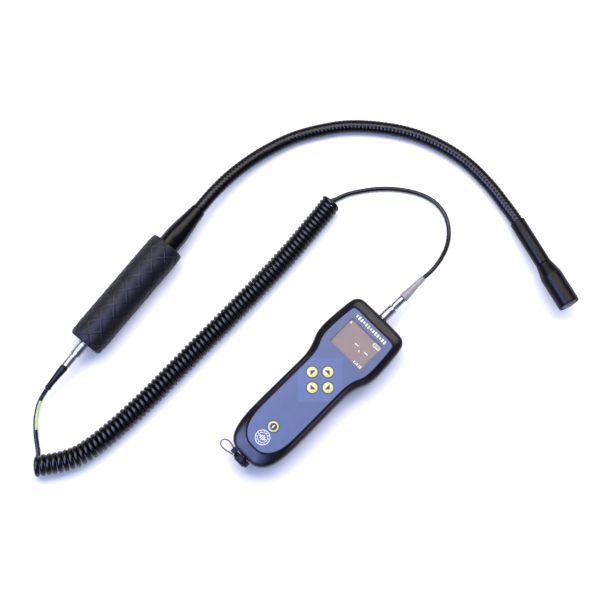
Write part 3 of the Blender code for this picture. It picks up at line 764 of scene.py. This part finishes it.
def film_prints():
    """Raised ink on the film: key rings, a row of bars over the display, and a wave badge."""
    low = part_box("keypad_overlay")[1].z / MM - 0.05
    high = low + 0.12
    rings = []
    for name in (*KEY_NAMES, "key_power"):
        centre = middle(name) / MM
        rings.append(hoop(centre.x, centre.y, 6.65, 7.35, low, high, 64))
    install(skin("key_rings", rings, screen_ink("dark_blue_ink", linear("#2a2f55"))), "root",
            slot="overlay_blue")

    white = screen_ink("white_ink", linear("#eef0fb"))
    bars = []
    green_bars = []
    first_x, pitch = -21.5, 3.65
    for i in range(13):
        x = first_x + pitch * i
        height = 2.2 + 2.2 * abs(sin(0.9 * i + 0.5))
        shape = slab(plate(x, STRIP_Y, 1.9, height, 0.3), low, high)
        (green_bars if 4 <= i <= 6 else bars).append(shape)
    install(skin("strip_white", bars, white), "root", slot="overlay_blue")
    install(skin("strip_green", green_bars, screen_ink("lime_ink", linear("#d2dc8c"))), "root",
            slot="overlay_blue")

    badge = [hoop(0, BADGE_Y, 8.2, 8.8, low, high, 72), hoop(0, BADGE_Y, 5.5, 5.9, low, high, 48)]
    for x, y in disc(0, BADGE_Y, 7.05, 12):
        badge.append(slab(disc(x, y, 0.5, 12), low, high))
    for i, height in enumerate((2.4, 4.8, 6.6, 4.8, 2.4)):
        badge.append(slab(plate(1.9 * (i - 2), BADGE_Y, 1.0, height, 0.4), low, high))
    install(skin("wave_badge", badge, white), "root", slot="overlay_blue")


def display_parts(colours):
    """The clear lens, the glass under it, and the marks that the glass shows."""
    low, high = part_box("lcd_window")
    low, high = low / MM, high / MM
    centre = (low + high) / 2
    width, height = high.x - low.x, high.y - low.y
    outline = plate(centre.x, centre.y, width, height, 0.9)
    shrunk = plate(centre.x, centre.y, width - 0.4, height - 0.4, 0.9)
    rings = [level(shrunk, low.z), level(outline, low.z + 0.2), level(outline, high.z - 0.2),
             level(shrunk, high.z)]
    lens = skin("display_lens", [(rings, False)], clear_acrylic())
    install(lens, "root", "lcd_window", slot="display_lens")

    low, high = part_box("lcd_module")
    low, high = low / MM, high / MM
    size = (high.x - low.x, high.y - low.y)
    edge = plate(centre.x, centre.y, *size, 0.8)
    inner = plate(centre.x, centre.y, size[0] - 1, size[1] - 1, 0.8)
    rings = [level(edge, low.z), level(edge, high.z - 0.5), level(inner, high.z)]
    panel = skin("display_panel", [(rings, False)], display_glass(colours.display))
    install(panel, "root", "lcd_module", slot="display_panel")

    base = high.z - 0.03
    top = base + 0.10
    left, right = centre.x - 24.5, centre.x + 24.5
    upper, lower = centre.y + 18.5, centre.y - 18.5
    # two dashes and a point for the reading, then a small triangle in the corner
    marks = [slab(plate(centre.x + x, centre.y + 0.2, 5.0, 1.2, 0.4), base, top) for x in (1.0, 15.8)]
    marks.append(slab(disc(centre.x + 8, centre.y - 3.7, 1.0, 24), base, top))
    triangle = [(left + 1.2, upper - 5.4), (left + 4.2, upper - 5.4), (left + 2.6, upper - 2.2)]
    marks.append(slab(eased(triangle, 0.4, 3, loop=True), base, top))
    # plain bars where the unit would stand
    for x, tall in ((12.6, 2.8), (15.0, 1.4), (17.4, 2.8), (20.2, 3.4), (22.4, 3.4)):
        marks.append(slab(plate(centre.x + x, lower + 2.4 + tall / 2 - 1.2, 1.2, tall, 0.3), base, top))
    # the battery symbol: four sides and its terminal
    case_x, case_y = right - 5.4, upper - 4.0
    sides = ((0, 2.1, 8.6, 0.7), (0, -2.1, 8.6, 0.7), (-4.2, 0, 0.7, 4.9), (4.2, 0, 0.7, 4.9),
             (-4.9, 0, 0.9, 2.0))
    for x, y, wide, tall in sides:
        marks.append(slab(plate(case_x + x, case_y + y, wide, tall, 0.2), base, top + 0.01))
    install(skin("display_marks", marks, screen_ink("lit_segment", linear("#f4eef2"), 0.35)), "root",
            slot="display_panel")
    charge = [slab(plate(case_x + x, case_y, 1.9, 3.0, 0.3), base, top) for x in (-1.8, 0.6, 3.0)]
    install(skin("display_charge", charge, screen_ink("green_segment", linear("#7cc35e"), 0.35)), "root",
            slot="display_panel")


def key_dome(radius):
    """Height of a key's top above its flange at a distance from its middle, in millimetres."""
    edge = 5.3
    if radius <= edge:
        return 5.30 + 0.60 * (1 - (radius / edge) ** 2)
    return 5.30 - 0.35 * ((radius - edge) / 0.9) ** 2


def fine(outline, step):
    """The same closed outline with a point at least every step."""
    made = []
    for start, end in zip(outline, [*outline[1:], outline[0]]):
        start, end = Vector(start[:2]), Vector(end[:2])
        parts = ceil((end - start).length / step)
        made += [start.lerp(end, k / parts) for k in range(parts)]
    return made


def key_mark(name, outline, centre, base, finish, lift=0.08):
    """A thin printed shape that follows a key's dome."""
    outline = fine(outline, 0.5)
    rings = []
    low = [Vector((p[0], p[1], key_dome(Vector(p[:2]).length) - 0.25)) for p in outline]
    rings.append(low)
    heart = Vector((sum(p[0] for p in outline), sum(p[1] for p in outline))) / len(outline)
    for share in (1.0, 0.97, 0.8, 0.6, 0.4, 0.2, 0.06):
        ring = []
        for p in outline:
            flat = heart.lerp(Vector(p[:2]), share)
            height = key_dome(flat.length) + (lift if share < 1 else lift - 0.04)
            ring.append(Vector((flat.x, flat.y, height)))
        rings.append(ring)
    moved = [[(Vector((centre.x, centre.y, base)) + p) * MM for p in ring] for ring in rings]
    return skin(name, [(moved, False)], finish, 60)


def keys(colours):
    """Five domed keys: four with an arrow that points away from the middle, one with a bar."""
    rubber = silicone_key(colours.key)
    symbol = screen_ink("key_symbol_ink", colours.symbol, 0.5)
    stops = [(0, 0), (7.0, 0), (7.0, 0.9), (6.2, 0.9), (6.2, 4.75)]
    stops += [(6.2 - 0.9 * i / 3, key_dome(6.2 - 0.9 * i / 3)) for i in range(4)]
    stops += [(5.3 * (1 - i / 6), key_dome(5.3 * (1 - i / 6))) for i in range(1, 7)]
    for name in (*KEY_NAMES, "key_power"):
        centre = middle(name) / MM
        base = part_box(name)[0].z / MM
        place = Matrix.Translation(Vector((centre.x, centre.y, base)) * MM) @ Matrix.Rotation(pi / 2, 4, "X")
        cap = turned(name + "_cap", [(r * MM, h * MM) for r, h in stops], place, rubber, 64)
        install(cap, name, name, slot="key_yellow")
        if name == "key_power":
            mark = key_mark("power_disc", disc(0, 0, 4.3, 40), centre, base, symbol)
            install(mark, name, slot="key_yellow")
            bar = key_mark("power_bar", plate(0, 0, 1.3, 4.6, 0.4), centre, base,
                           screen_ink("pale_key_ink", linear("#dcd9c8")), 0.10)
            install(bar, name, slot="key_yellow")
            continue
        outward = (middle(name) - Vector((0, middle("key_left").y, 0))).to_2d().normalized()
        across = Vector((-outward.y, outward.x))
        corners = [outward * 2.7, outward * -1.35 + across * 4.1, outward * -1.35 - across * 4.1]
        mark = key_mark(name + "_arrow", eased(corners, 0.8, 4, loop=True), centre, base, symbol)
        install(mark, name, slot="key_yellow")


def case_screws():
    """Four self-tapping screws with cross recesses, from the back of the case."""
    finish = zinc_steel()
    for i in range(4):
        name = f"case_screw_{i + 1}"
        low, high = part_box(name)
        centre = middle(name)
        place = Matrix.Translation((centre.x, centre.y, low.z)) @ Matrix.Rotation(pi / 2, 4, "X")
        tall = high.z - low.z
        profile = eased([(0, 0), (0.0030, 0), (0.0030, 0.0017), (0.0014, 0.0017)], 0.0006, 4)
        turns = 11
        for k in range(turns * 2):
            along = 0.0030 + (tall - 0.0042) * k / (2 * turns - 1)
            profile.append(Vector((0.0014 if k % 2 else 0.00105, along)))
        profile += [Vector((0.0008, tall - 0.0004)), Vector((0, tall))]
        screw = turned(f"screw_{i + 1}", profile, place, finish, 32)
        x, y, z = Vector((centre.x, centre.y, low.z)) / MM
        long, short = 1.9, 0.42
        arm = [(long, -short), (long, short), (short, short)]
        cross = []
        for _ in range(4):
            cross += arm
            arm = [(-q, p) for p, q in arm]
        outline = [(x + p, y + q) for p, q in cross]
        narrow = [(x + 0.6 * p, y + 0.6 * q) for p, q in cross]
        rings = [level(outline, z - 0.5), level(outline, z + 0.1), level(narrow, z + 1.1)]
        carve(screw, skin("cross", [(rings, False)], None))
        install(screw, "root", name, slot="screw_steel")


# ---------------------------------------------------------------- plugs, sockets, cap

def port_frames():
    """Frames at the panel each plug pushes into, with +Y pointing out of the panel."""
    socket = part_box("meter_socket")
    meter = placed((middle("meter_socket").x, socket[1].y - 0.0006, middle("meter_socket").z))
    handle = placed(HANDLE_REAR, HANDLE_TURN + pi)
    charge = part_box("charge_socket")
    cap = placed((middle("charge_socket").x, charge[0].y + 0.0006, middle("charge_socket").z), pi)
    return meter, handle, cap


def sockets(chrome):
    profile = [(0, -0.0135), (0.0060, -0.0135), (0.0060, 0.0006), (0.0043, 0.0006), (0.0043, -0.0085),
               (0, -0.0085)]
    for name, place in zip(("meter_socket", "handle_socket", "charge_socket"), port_frames()):
        made = turned(name + "_shell", eased(profile, 0.0002, 2), place, chrome)
        install(made, "root", name, slot="plug_chrome")


def knurled(count, start, end, depth):
    """Swell of a diamond knurl between two distances along a sleeve."""
    def ripple(phase):
        return abs(phase - round(phase)) * 2

    def swell(angle, along):
        if not start < along < end:
            return 0.0
        turn = count * angle / (2 * pi)
        rise = (along - start) * count / (2 * pi * 0.0061)
        return -depth * max(1 - ripple(turn + rise), 1 - ripple(turn - rise)) ** 2
    return swell


def plugs(sizes, chrome):
    """Two push-pull plugs: a plain core that stays put, inside a knurled sleeve that slides back."""
    for name, place in zip(("meter_plug", "handle_plug"), port_frames()):
        core = [
            (0, -0.0075), (0.0039, -0.0075), (0.0039, SLEEVE_END + 0.0018), (0.0048, SLEEVE_END + 0.0018),
            (0.0048, CLAMP_END - 0.0006), (0.0042, CLAMP_END), (0, CLAMP_END),
        ]
        body = turned(name + "_core", eased(core, 0.0002, 2), place, chrome)
        install(body, "root", name + "_body", slot="plug_chrome")
        start, outer = 0.0010, 0.0061
        rows = 44
        ring = [(0.0043, start), (0.0056, start), (outer, start + 0.0005), (outer, 0.0024)]
        ring += [(outer, 0.0025 + (0.0118 - 0.0025) * i / rows) for i in range(rows + 1)]
        ring += [(outer, 0.0122), (0.0057, 0.0125), (0.0057, 0.0133), (outer, 0.0136),
                 (outer, SLEEVE_END - 0.0010), (0.0056, SLEEVE_END), (0.0043, SLEEVE_END)]
        swell = knurled(sizes.knurl_count, 0.0026, 0.0117, 0.00014)
        sleeve = turned(name + "_collar", ring, place, chrome, 5 * sizes.knurl_count, True, swell)
        install(sleeve, name + "_sleeve", name + "_sleeve", slot="plug_chrome")


def boots(colours):
    """The clear tapered boot at the meter and the black curved one at the handle."""
    meter = port_frames()[0]
    profile = [
        (0, CLAMP_END + GAP), (0.0051, CLAMP_END + GAP), (0.0055, CLAMP_END + 0.0012), (0.0053, 0.0400),
        (0.0046, 0.0480), (0.0039, 0.0570), (0.0034, BOOT_END - 0.0010), (0.0031, BOOT_END), (0, BOOT_END),
    ]
    clear = turned("meter_boot", eased(profile, 0.0006, 3), meter, clear_vinyl(colours.boot), 40)
    install(clear, "root", "meter_plug_boot", slot="boot_clear")

    route = Route(HANDLE_BOOT_ROUTE)
    black = moulded_rubber()
    stops = [(0, 0), (0.0042, 0), (0.0046, 0.0006), (0.0047, 0.0030), (0.0042, 0.012), (0.0036, 0.022),
             (0.0033, 0.0292), (0.0033, 0.0300), (0.0037, 0.0306), (0.0038, 0.0316), (0.0036, 0.0326),
             (0.0031, route.length - 0.0003), (0, route.length)]
    rings = []
    for radius, along in eased(stops, 0.0006, 2):
        rings.append([route.at(along)] if radius == 0 else route.ring(along, radius, 32))
    install(skin("handle_boot", [(rings, False)], black), "root", "handle_plug_boot", slot="cable_black")


def cap_and_lug():
    """The fluted rubber dust cap and the small block that holds its wire to the case."""
    place = port_frames()[2]
    rubber = moulded_rubber()
    profile = [
        (0, -0.0072), (0.0036, -0.0072), (0.0039, -0.0066), (0.0039, 0.0010), (0.0094, 0.0010),
        (0.0101, 0.0018), (0.0102, 0.0030), (0.0099, 0.0034), (0.0102, 0.0038), (0.0102, 0.0068),
        (0.0090, 0.0082), (0.0072, 0.0084), (0.0072, 0.0090), (0.0064, 0.0096), (0.0030, 0.0096),
        (0.0026, 0.0091), (0, 0.0090),
    ]

    def flutes(angle, along):
        return -0.00035 * abs(sin(9 * angle)) ** 0.5 if 0.0039 < along < 0.0075 else 0.0

    cap = turned("dust_cap", eased(profile, 0.0003, 2), place, rubber, 144, swell=flutes)
    install(cap, "socket_cap", "socket_cap", slot="cap_rubber")

    low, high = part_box("lanyard_lug")
    low, high = low / MM, high / MM
    centre = (low + high) / 2
    wide, deep = high.x - low.x + 1.6, high.y - low.y + 2.4
    big = plate(centre.x, centre.y, wide, deep, 0.9)
    small = plate(centre.x, centre.y, wide - 1, deep - 1, 0.9)
    rings = [level(small, low.z), level(big, low.z + 0.6), level(big, high.z - 0.6), level(small, high.z)]
    lug = skin("lanyard_eye", [(rings, False)], rubber)
    install(lug, "root", "lanyard_lug", slot="case_black")


def lanyard():
    """The wire loop from the lug to the cap."""
    route = Route(WIRE_ROUTE)
    count = 90
    places = [route.length * i / count for i in range(count + 1)]
    radius = 0.0008
    rings = [route.ring(places[0], radius * 0.6, 12)]
    rings += [route.ring(s, radius, 12) for s in places[1:-1]]
    rings.append(route.ring(places[-1], radius * 0.6, 12))
    wire = skin("lanyard_wire", [(rings, False)], stranded_steel())
    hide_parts("cap_lanyard")
    path = [route.at(route.length * i / 36) for i in range(37)]
    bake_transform(wire)


# ---------------------------------------------------------------- cable

COIL_FULLNESS = 1.10  # the jacket is this much thicker where it is wound than on its leads


def coil_points(sizes, route):
    """The cord's middle line around its coil, from the bottom of one end to the bottom of the other."""
    step = 0.0001
    ease = 0.010
    count = ceil(route.length / step)
    step = route.length / count

    def rate(distance):
        share = distance / route.length
        pitch = sizes.pitch_start + (sizes.pitch_end - sizes.pitch_start) * share
        begin = min(1.0, distance / ease)
        return 2 * pi / pitch * begin * begin * (3 - 2 * begin)

    angles = [0.0]
    for i in range(count):
        angles.append(angles[-1] + rate(step * (i + 0.5)) * step)
    turns = round(angles[-1] / (2 * pi))
    scale = 2 * pi * turns / angles[-1]
    radius = sizes.coil_radius
    made = []
    last = -1.0
    for i, angle in enumerate(angles):
        if angle * scale - last < 2 * pi / 18 and i < count:
            continue
        last = angle * scale
        distance = step * i
        along = route.direction(distance)
        side = Vector((along.y, -along.x, 0))
        turn = last - pi / 2
        centre = route.at(distance)
        made.append(centre + radius * (cos(turn) * side + sin(turn) * Vector((0, 0, 1))))
    return made


def cable_points(sizes):
    """The whole middle line of the cable, and where its coil begins and ends in that list."""
    height = (sizes.coil_radius + COIL_FULLNESS * sizes.cord_radius) / MM
    coil = coil_points(sizes, Route([(x, y, height) for x, y in COIL_ROUTE]))
    first = [p / MM for p in coil[:2]]
    last = [p / MM for p in coil[-2:]]
    start = spline([*METER_LEAD_ROUTE, *first], 5)[:-5]
    end = spline([*last, *reversed(HANDLE_LEAD_ROUTE)], 5)[5:]
    points = [p * MM for p in start[:-1]] + coil + [p * MM for p in end[1:]]
    return points, len(start) - 1, len(start) + len(coil) - 2


def marker_gap(angle):
    """Whether the clip-on marker is open at that angle around the cord, so that the cord shows."""
    return angle < 1.55 or angle > 5.2


def fullness(share):
    """The cord's thickness at a share of the way along the coil, against its own on the leads."""
    swelling = max(0.0, share) * 2
    thinning = max(0.0, 1 - share) * 40
    return 1.0 + (COIL_FULLNESS - 1.0) * min(1.0, swelling, thinning)


def cable(colours, sizes):
    """The cord from plug to plug in one piece, and the marker clipped on its handle lead."""
    points, coil_first, coil_last = cable_points(sizes)
    curve = bpy.data.curves.new("curly_cable", "CURVE")
    curve.dimensions = "3D"
    curve.bevel_depth = sizes.cord_radius
    curve.bevel_resolution = 4
    curve.use_fill_caps = True
    line = curve.splines.new("POLY")
    line.points.add(len(points) - 1)
    for i, (target, point) in enumerate(zip(line.points, points)):
        target.co = (*point, 1.0)
        target.radius = fullness((i - coil_first) / (coil_last - coil_first))
    line.use_smooth = True
    curve.materials.append(cable_jacket(colours.cable))
    made = bpy.data.objects.new("curly_cable", curve)
    bpy.context.scene.collection.objects.link(made)
    install(made, "root", "lead_meter_side", "curly_coil", "lead_handle_side", slot="cable_black")

    lead = Route(HANDLE_LEAD_ROUTE)
    start, end = 0.17 * lead.length, 0.57 * lead.length
    inner, outer = sizes.cord_radius - 0.0006, 0.0031
    rows = 24
    sides = 48

    def band(reach):
        return lambda angle: inner + 0.0002 if marker_gap(angle) else reach

    places = [start + (end - start) * i / rows for i in range(rows + 1)]
    rings = [lead.ring(start, band(outer - 0.0003), sides)]
    for i in range(1, rows):
        wave = 0.00008 * sin(1.9 * i) ** 2
        rings.append(lead.ring(places[i], band(outer - wave), sides))
    rings.append(lead.ring(end, band(outer - 0.0003), sides))
    rings += [lead.ring(s, inner, sides) for s in reversed(places)]
    marker = skin("marker_tube", [(rings, True)], moulded_polyolefin(colours.marker))
    install(marker, "root", "marker_sleeve", slot="marker_green")


# ---------------------------------------------------------------- handle

def grip(colours, sizes):
    """Rubber sleeve with two sets of crossing helical ridges and a pillow in each lozenge."""
    place = placed(HANDLE_REAR, HANDLE_TURN)
    outer = spline(GRIP_PROFILE, 42)

    def swell(angle, along):
        ridge = 0.0
        pillow = 1.0
        for sense in (1, -1):
            phase = GRIP_LEADS * angle / (2 * pi) + sense * along / sizes.lozenge
            away = abs(phase - round(phase))
            ridge = max(ridge, exp(-(away * sizes.lozenge / sqrt(2) / 0.00065) ** 2))
            pillow *= sin(pi * away)
        edge = min(1.0, along / 0.004, (GRIP_LENGTH - along) / 0.004)
        return edge * (sizes.ridge * ridge + 0.0007 * pillow - 0.0003)

    bore = 0.0153
    profile = [(bore, 0.0)] + [(p.x * MM, p.y * MM) for p in outer]
    profile += [(bore, GRIP_LENGTH), (bore, 0.75 * GRIP_LENGTH), (bore, 0.25 * GRIP_LENGTH)]
    rings = []
    sides = 264
    for k, (radius, along) in enumerate(profile):
        ring = []
        for i in range(sides):
            angle = 2 * pi * i / sides
            reach = radius + (swell(angle, along) if 0 < k <= len(outer) else 0.0)
            ring.append(place @ Vector((reach * cos(angle), along, reach * sin(angle))))
        rings.append(ring)
    sleeve = skin("rubber_grip", [(rings, True)], grip_rubber(colours.grip, sizes), 50)
    install(sleeve, "root", "grip_sleeve", slot="grip_rubber")


def cone():
    """The enamelled ferrule that carries the gooseneck, with its spigot inside the grip."""
    place = placed(HANDLE_REAR, HANDLE_TURN)
    spigot = 0.0129
    bore = NECK_RADIUS + GAP
    taper = [(13.2, 150.3), (13.2, 158), (13.2, 165), (12.6, 172), (10.8, 187), (9.4, 199), (8.9, 204.6)]
    outer = spline(taper, 5)
    profile = [(0.005, 0.128), (spigot, 0.128), (spigot, 0.1475)]
    profile += [(p.x * MM, p.y * MM) for p in outer]
    profile += [(0.0087, 0.2060), (0.0084, 0.2065), (bore, 0.2065), (bore, 0.174), (0.005, 0.174)]
    made = turned("neck_cone", profile, place, gloss_enamel(), 72, loop=True)
    install(made, "root", "front_cone", slot="neck_black")


def gooseneck(sizes):
    """The ribbed hose in six lengths, cut halfway between the pivots."""
    route = Route(NECK_ROUTE)
    finish = black_nickel()
    cuts = [0.0] + [(a + b) / 2 for a, b in zip(NECK_PIVOTS, NECK_PIVOTS[1:])] + [route.length]
    reach = 0.030

    def radius_at(distance):
        def radius(angle):
            phase = distance / sizes.rib_pitch + angle / (2 * pi)
            groove = 1 - abs(sin(pi * phase))
            return NECK_RADIUS - sizes.rib_depth * groove ** 2
        return radius

    for i, pivot in enumerate(NECK_PIVOTS):
        start, end = cuts[i], cuts[i + 1]
        count = ceil((end - start) / (sizes.rib_pitch / 8))
        rings = [route.ring(start, NECK_RADIUS * 0.6, 40)]
        for k in range(count + 1):
            distance = start + (end - start) * k / count
            rings.append(route.ring(distance, radius_at(distance), 40))
        rings.append(route.ring(end, NECK_RADIUS * 0.6, 40))
        piece = skin(f"hose_{i + 1}", [(rings, False)], finish, 60)
        nodes = ["neck_base", "neck_link_1"] if i == 0 else [f"neck_link_{i + 1}"]
        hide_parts(*nodes)
        tuple(route.at(pivot - reach))
        tuple(route.at(pivot + reach))
        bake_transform(piece)


def listening_head():
    """The collar at the end of the gooseneck, the flared shell, and the perforated disc in it."""
    place = placed(HEAD_START, HEAD_TURN - pi / 2, HEAD_TILT)
    satin = black_anodised()
    collar = [
        (0.0088, 0), (0.0091, 0.0008), (0.0091, 0.0594), (0.0088, 0.0600), (0.0055, 0.0600),
        (0.0055, 0.0145), (0.0083, 0.0145), (0.0083, 0),
    ]
    made = turned("neck_collar", eased(collar, 0.0003, 2, loop=True), place, satin, 64, loop=True)
    install(made, "neck_link_6", "tip_sleeve", slot="head_black")
    base = HEAD_BASE
    shell = [
        (0.0055, base), (0.0093, base), (0.0097, base + 0.0024), (0.0125, base + 0.0148),
        (0.0130, base + 0.0172), (0.0130, base + 0.0563), (0.0124, base + 0.0575), (0.0114, base + 0.0575),
        (0.0114, base + 0.028), (0.0055, base + 0.028),
    ]
    made = turned("sensor_shell", eased(shell, 0.0008, 4, loop=True), place, satin, 72, loop=True)
    install(made, "neck_link_6", "sensor_head", slot="head_black")

    disc_profile = eased([(0, 0.1188), (0.0060, 0.1176), (0.0112, 0.1146), (0.0112, 0.1160), (0.0060, 0.1192),
                          (0, 0.1204)], 0.0003, 3)
    grille = turned("sensor_mesh", disc_profile, place, perforated_steel(), 72)
    pitch = 0.0026
    shells = []
    for row in range(-5, 6):
        for column in range(-5, 6):
            x = pitch * (column + 0.5 * (row % 2))
            z = pitch * row * sqrt(3) / 2
            if sqrt(x * x + z * z) > 0.0097:
                continue
            ends = []
            for along in (0.113, 0.122):
                ring = [Vector((x + p * MM, along, z + q * MM)) for p, q in disc(0, 0, 0.9, 12)]
                ends.append([place @ point for point in ring])
            shells.append((ends, False))
    carve(grille, skin("holes", shells, None))
    install(grille, "neck_link_6", "sensor_grille", slot="grille_steel")


def finish_inner_parts():
    """Materials for the plain pieces that stay as they are."""
    board = circuit_board()
    wrap = cell_wrap()
    seal = grey_silicone()
    brass = bare_metal("turned_brass", "#b8924a", 2)
    tube = bare_metal("drawn_aluminium", "#b9bbbd", 3)
    steel = zinc_steel()
    rubber = moulded_rubber()
    looks = {"main_board": board, "preamp_board": board, "battery_pack": wrap, "case_seal": seal,
             "key_mat": seal, "damping_ring": seal, "core_tube": tube, "transducer": tube,
             "socket_nut": steel, "rear_end_cap": rubber}
    for i in range(4):
        looks[f"board_spacer_{i + 1}"] = brass
    for name, finish in looks.items():
        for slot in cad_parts[name].material_slots:
            slot.material = finish


# ---------------------------------------------------------------- stage

VIEW_TARGET = Vector((-0.0859, 0.0635, 0))  # the middle of the set, on the floor
VIEW_SIDE = Vector((1, -1, 0)).normalized()  # the side of the set that the camera leans to
VIEW_ELEVATION = radians(81.5)
ROOM_LIGHT = 1.0
ROOM_IN_GLOSS = 0.22  # the room is dimmer in reflections, so that black pieces stay black


def aimed(made, place):
    """Puts a camera or a light in the scene at that place, looking at the middle of the set."""
    made.location = place
    made.rotation_euler = (VIEW_TARGET - place).to_track_quat("-Z", "Y").to_euler()
    bpy.context.scene.collection.objects.link(made)


def soft_light(name, offset, size, power, colour, on_matt=True):
    """A large rectangular light; one that isn't on_matt shows only in glossy surfaces."""
    data = bpy.data.lights.new(name, "AREA")
    data.shape = "RECTANGLE"
    data.size, data.size_y = size
    data.energy = power
    data.color = colour[:3]
    light = bpy.data.objects.new(name, data)
    light.visible_diffuse = on_matt
    aimed(light, VIEW_TARGET + offset)


def stage(sizes):
    """A pale floor, a warm key light from behind, a bluish one for the gloss, and a pale blue room."""
    camera_data = bpy.data.cameras.new("camera")
    camera_data.sensor_width = 36.0
    half_view = 0.5 * sizes.view_width / sizes.camera_distance
    camera_data.lens = 0.5 * camera_data.sensor_width / half_view
    camera = bpy.data.objects.new("camera", camera_data)
    upwards = VIEW_SIDE * cos(VIEW_ELEVATION) + Vector((0, 0, sin(VIEW_ELEVATION)))
    aimed(camera, VIEW_TARGET + sizes.camera_distance * upwards)
    bpy.context.scene.camera = camera

    paper, tree, shader = started("studio_paper", linear("#f4f4f6"), 0.8)
    tree.links.new(spread(tree, speckle(tree, 30), 0.74, 0.86), shader.inputs["Roughness"])
    half = 4000
    outline = [(-half, -half), (half, -half), (half, half), (-half, half)]
    skin("floor", [slab(outline, -10.2, -0.2)], paper)

    soft_light("key_light", -0.8 * VIEW_SIDE + Vector((0, 0, 1.6)), (2.6, 1.1), sizes.key_light,
               linear("#fff5f0"))
    soft_light("fill_light", Vector((-0.25, -0.8, 1.4)), (1.2, 0.8), sizes.fill_light,
               linear("#9fb2ff"), on_matt=False)
    world = bpy.data.worlds.new("studio")
    bpy.context.scene.world = world
    world.use_nodes = True
    tree = world.node_tree
    room = node(tree, "Background", {"Color": linear("#bacaf4"), "Strength": ROOM_LIGHT})
    dark_room = node(tree, "Background", {"Color": linear("#bacaf4"), "Strength": ROOM_IN_GLOSS})
    shiny = node(tree, "LightPath").outputs["Is Glossy Ray"]
    mixed = node(tree, "MixShader", {0: shiny, 1: room.outputs[0], 2: dark_room.outputs[0]})
    tree.links.new(mixed.outputs[0], tree.nodes["World Output"].inputs["Surface"])
    bpy.context.scene.view_settings.view_transform = "Standard"
    bpy.context.scene.view_settings.look = "None"


# ---------------------------------------------------------------- add-on

class BuildStep:
    """What every step shares: it builds with the scene's settings, and any error stops it."""
    bl_options = {"REGISTER", "UNDO"}

    def execute(self, context):
        self.build(context.scene.detector_colours, context.scene.detector_sizes)
        return {"FINISHED"}


class DETECTOR_OT_stage(BuildStep, Operator):
    """Sets the floor, the lights and the camera"""
    bl_idname = "detector.stage"
    bl_label = "Stage"

    def build(self, colours, sizes):
        stage(sizes)


class DETECTOR_OT_case(BuildStep, Operator):
    """Builds the two halves of the meter's case and its screws"""
    bl_idname = "detector.case"
    bl_label = "Meter Case"

    def build(self, colours, sizes):
        front = front_case(colours)
        rear_case(front.data.materials[0])
        case_screws()


class DETECTOR_OT_keypad(BuildStep, Operator):
    """Builds the printed film, the keys and the display"""
    bl_idname = "detector.keypad"
    bl_label = "Keypad and Display"

    def build(self, colours, sizes):
        keypad_film(colours)
        film_prints()
        keys(colours)
        display_parts(colours)


class DETECTOR_OT_plugs(BuildStep, Operator):
    """Builds the sockets, the push-pull plugs and their boots"""
    bl_idname = "detector.plugs"
    bl_label = "Plugs and Sockets"

    def build(self, colours, sizes):
        chrome = chromed_brass()
        sockets(chrome)
        plugs(sizes, chrome)
        boots(colours)


class DETECTOR_OT_cable(BuildStep, Operator):
    """Builds the curly cable and the marker sleeve on it"""
    bl_idname = "detector.cable"
    bl_label = "Curly Cable"

    def build(self, colours, sizes):
        cable(colours, sizes)


class DETECTOR_OT_cap(BuildStep, Operator):
    """Builds the dust cap, its lug and its wire"""
    bl_idname = "detector.cap"
    bl_label = "Dust Cap and Wire"

    def build(self, colours, sizes):
        cap_and_lug()
        lanyard()


class DETECTOR_OT_handle(BuildStep, Operator):
    """Builds the rubber grip and the cone in front of it"""
    bl_idname = "detector.handle"
    bl_label = "Handle"

    def build(self, colours, sizes):
        grip(colours, sizes)
        cone()


class DETECTOR_OT_gooseneck(BuildStep, Operator):
    """Builds the ribbed gooseneck and the listening head on its end"""
    bl_idname = "detector.gooseneck"
    bl_label = "Gooseneck and Head"

    def build(self, colours, sizes):
        gooseneck(sizes)
        listening_head()


class DETECTOR_OT_inner_parts(BuildStep, Operator):
    """Gives the plain inner pieces their materials"""
    bl_idname = "detector.inner_parts"
    bl_label = "Inner Parts"

    def build(self, colours, sizes):
        finish_inner_parts()


STEPS = (
    DETECTOR_OT_stage, DETECTOR_OT_plugs, DETECTOR_OT_cable, DETECTOR_OT_case, DETECTOR_OT_keypad,
    DETECTOR_OT_cap, DETECTOR_OT_handle, DETECTOR_OT_gooseneck, DETECTOR_OT_inner_parts,
)


class DETECTOR_PT_steps(Panel):
    """The steps that build the detector, in order"""
    bl_label = "Leak Detector"
    bl_idname = "DETECTOR_PT_steps"
    bl_space_type = "VIEW_3D"
    bl_region_type = "UI"
    bl_category = "Detector"

    def draw(self, context):
        for step in STEPS:
            self.layout.operator(step.bl_idname)
        for group in (context.scene.detector_colours, context.scene.detector_sizes):
            box = self.layout.box()
            for name in group.__annotations__:
                box.prop(group, name)


CLASSES = (DetectorColours, DetectorSizes, *STEPS, DETECTOR_PT_steps)


def register():
    for item in CLASSES:
        bpy.utils.register_class(item)
    bpy.types.Scene.detector_colours = PointerProperty(type=DetectorColours)
    bpy.types.Scene.detector_sizes = PointerProperty(type=DetectorSizes)


def unregister():
    del bpy.types.Scene.detector_colours
    del bpy.types.Scene.detector_sizes
    for item in reversed(CLASSES):
        bpy.utils.unregister_class(item)


def main():
    register()
    for step in STEPS:
        group, name = step.bl_idname.split(".")
        getattr(getattr(bpy.ops, group), name)()


if __name__ == "__main__":
    main()
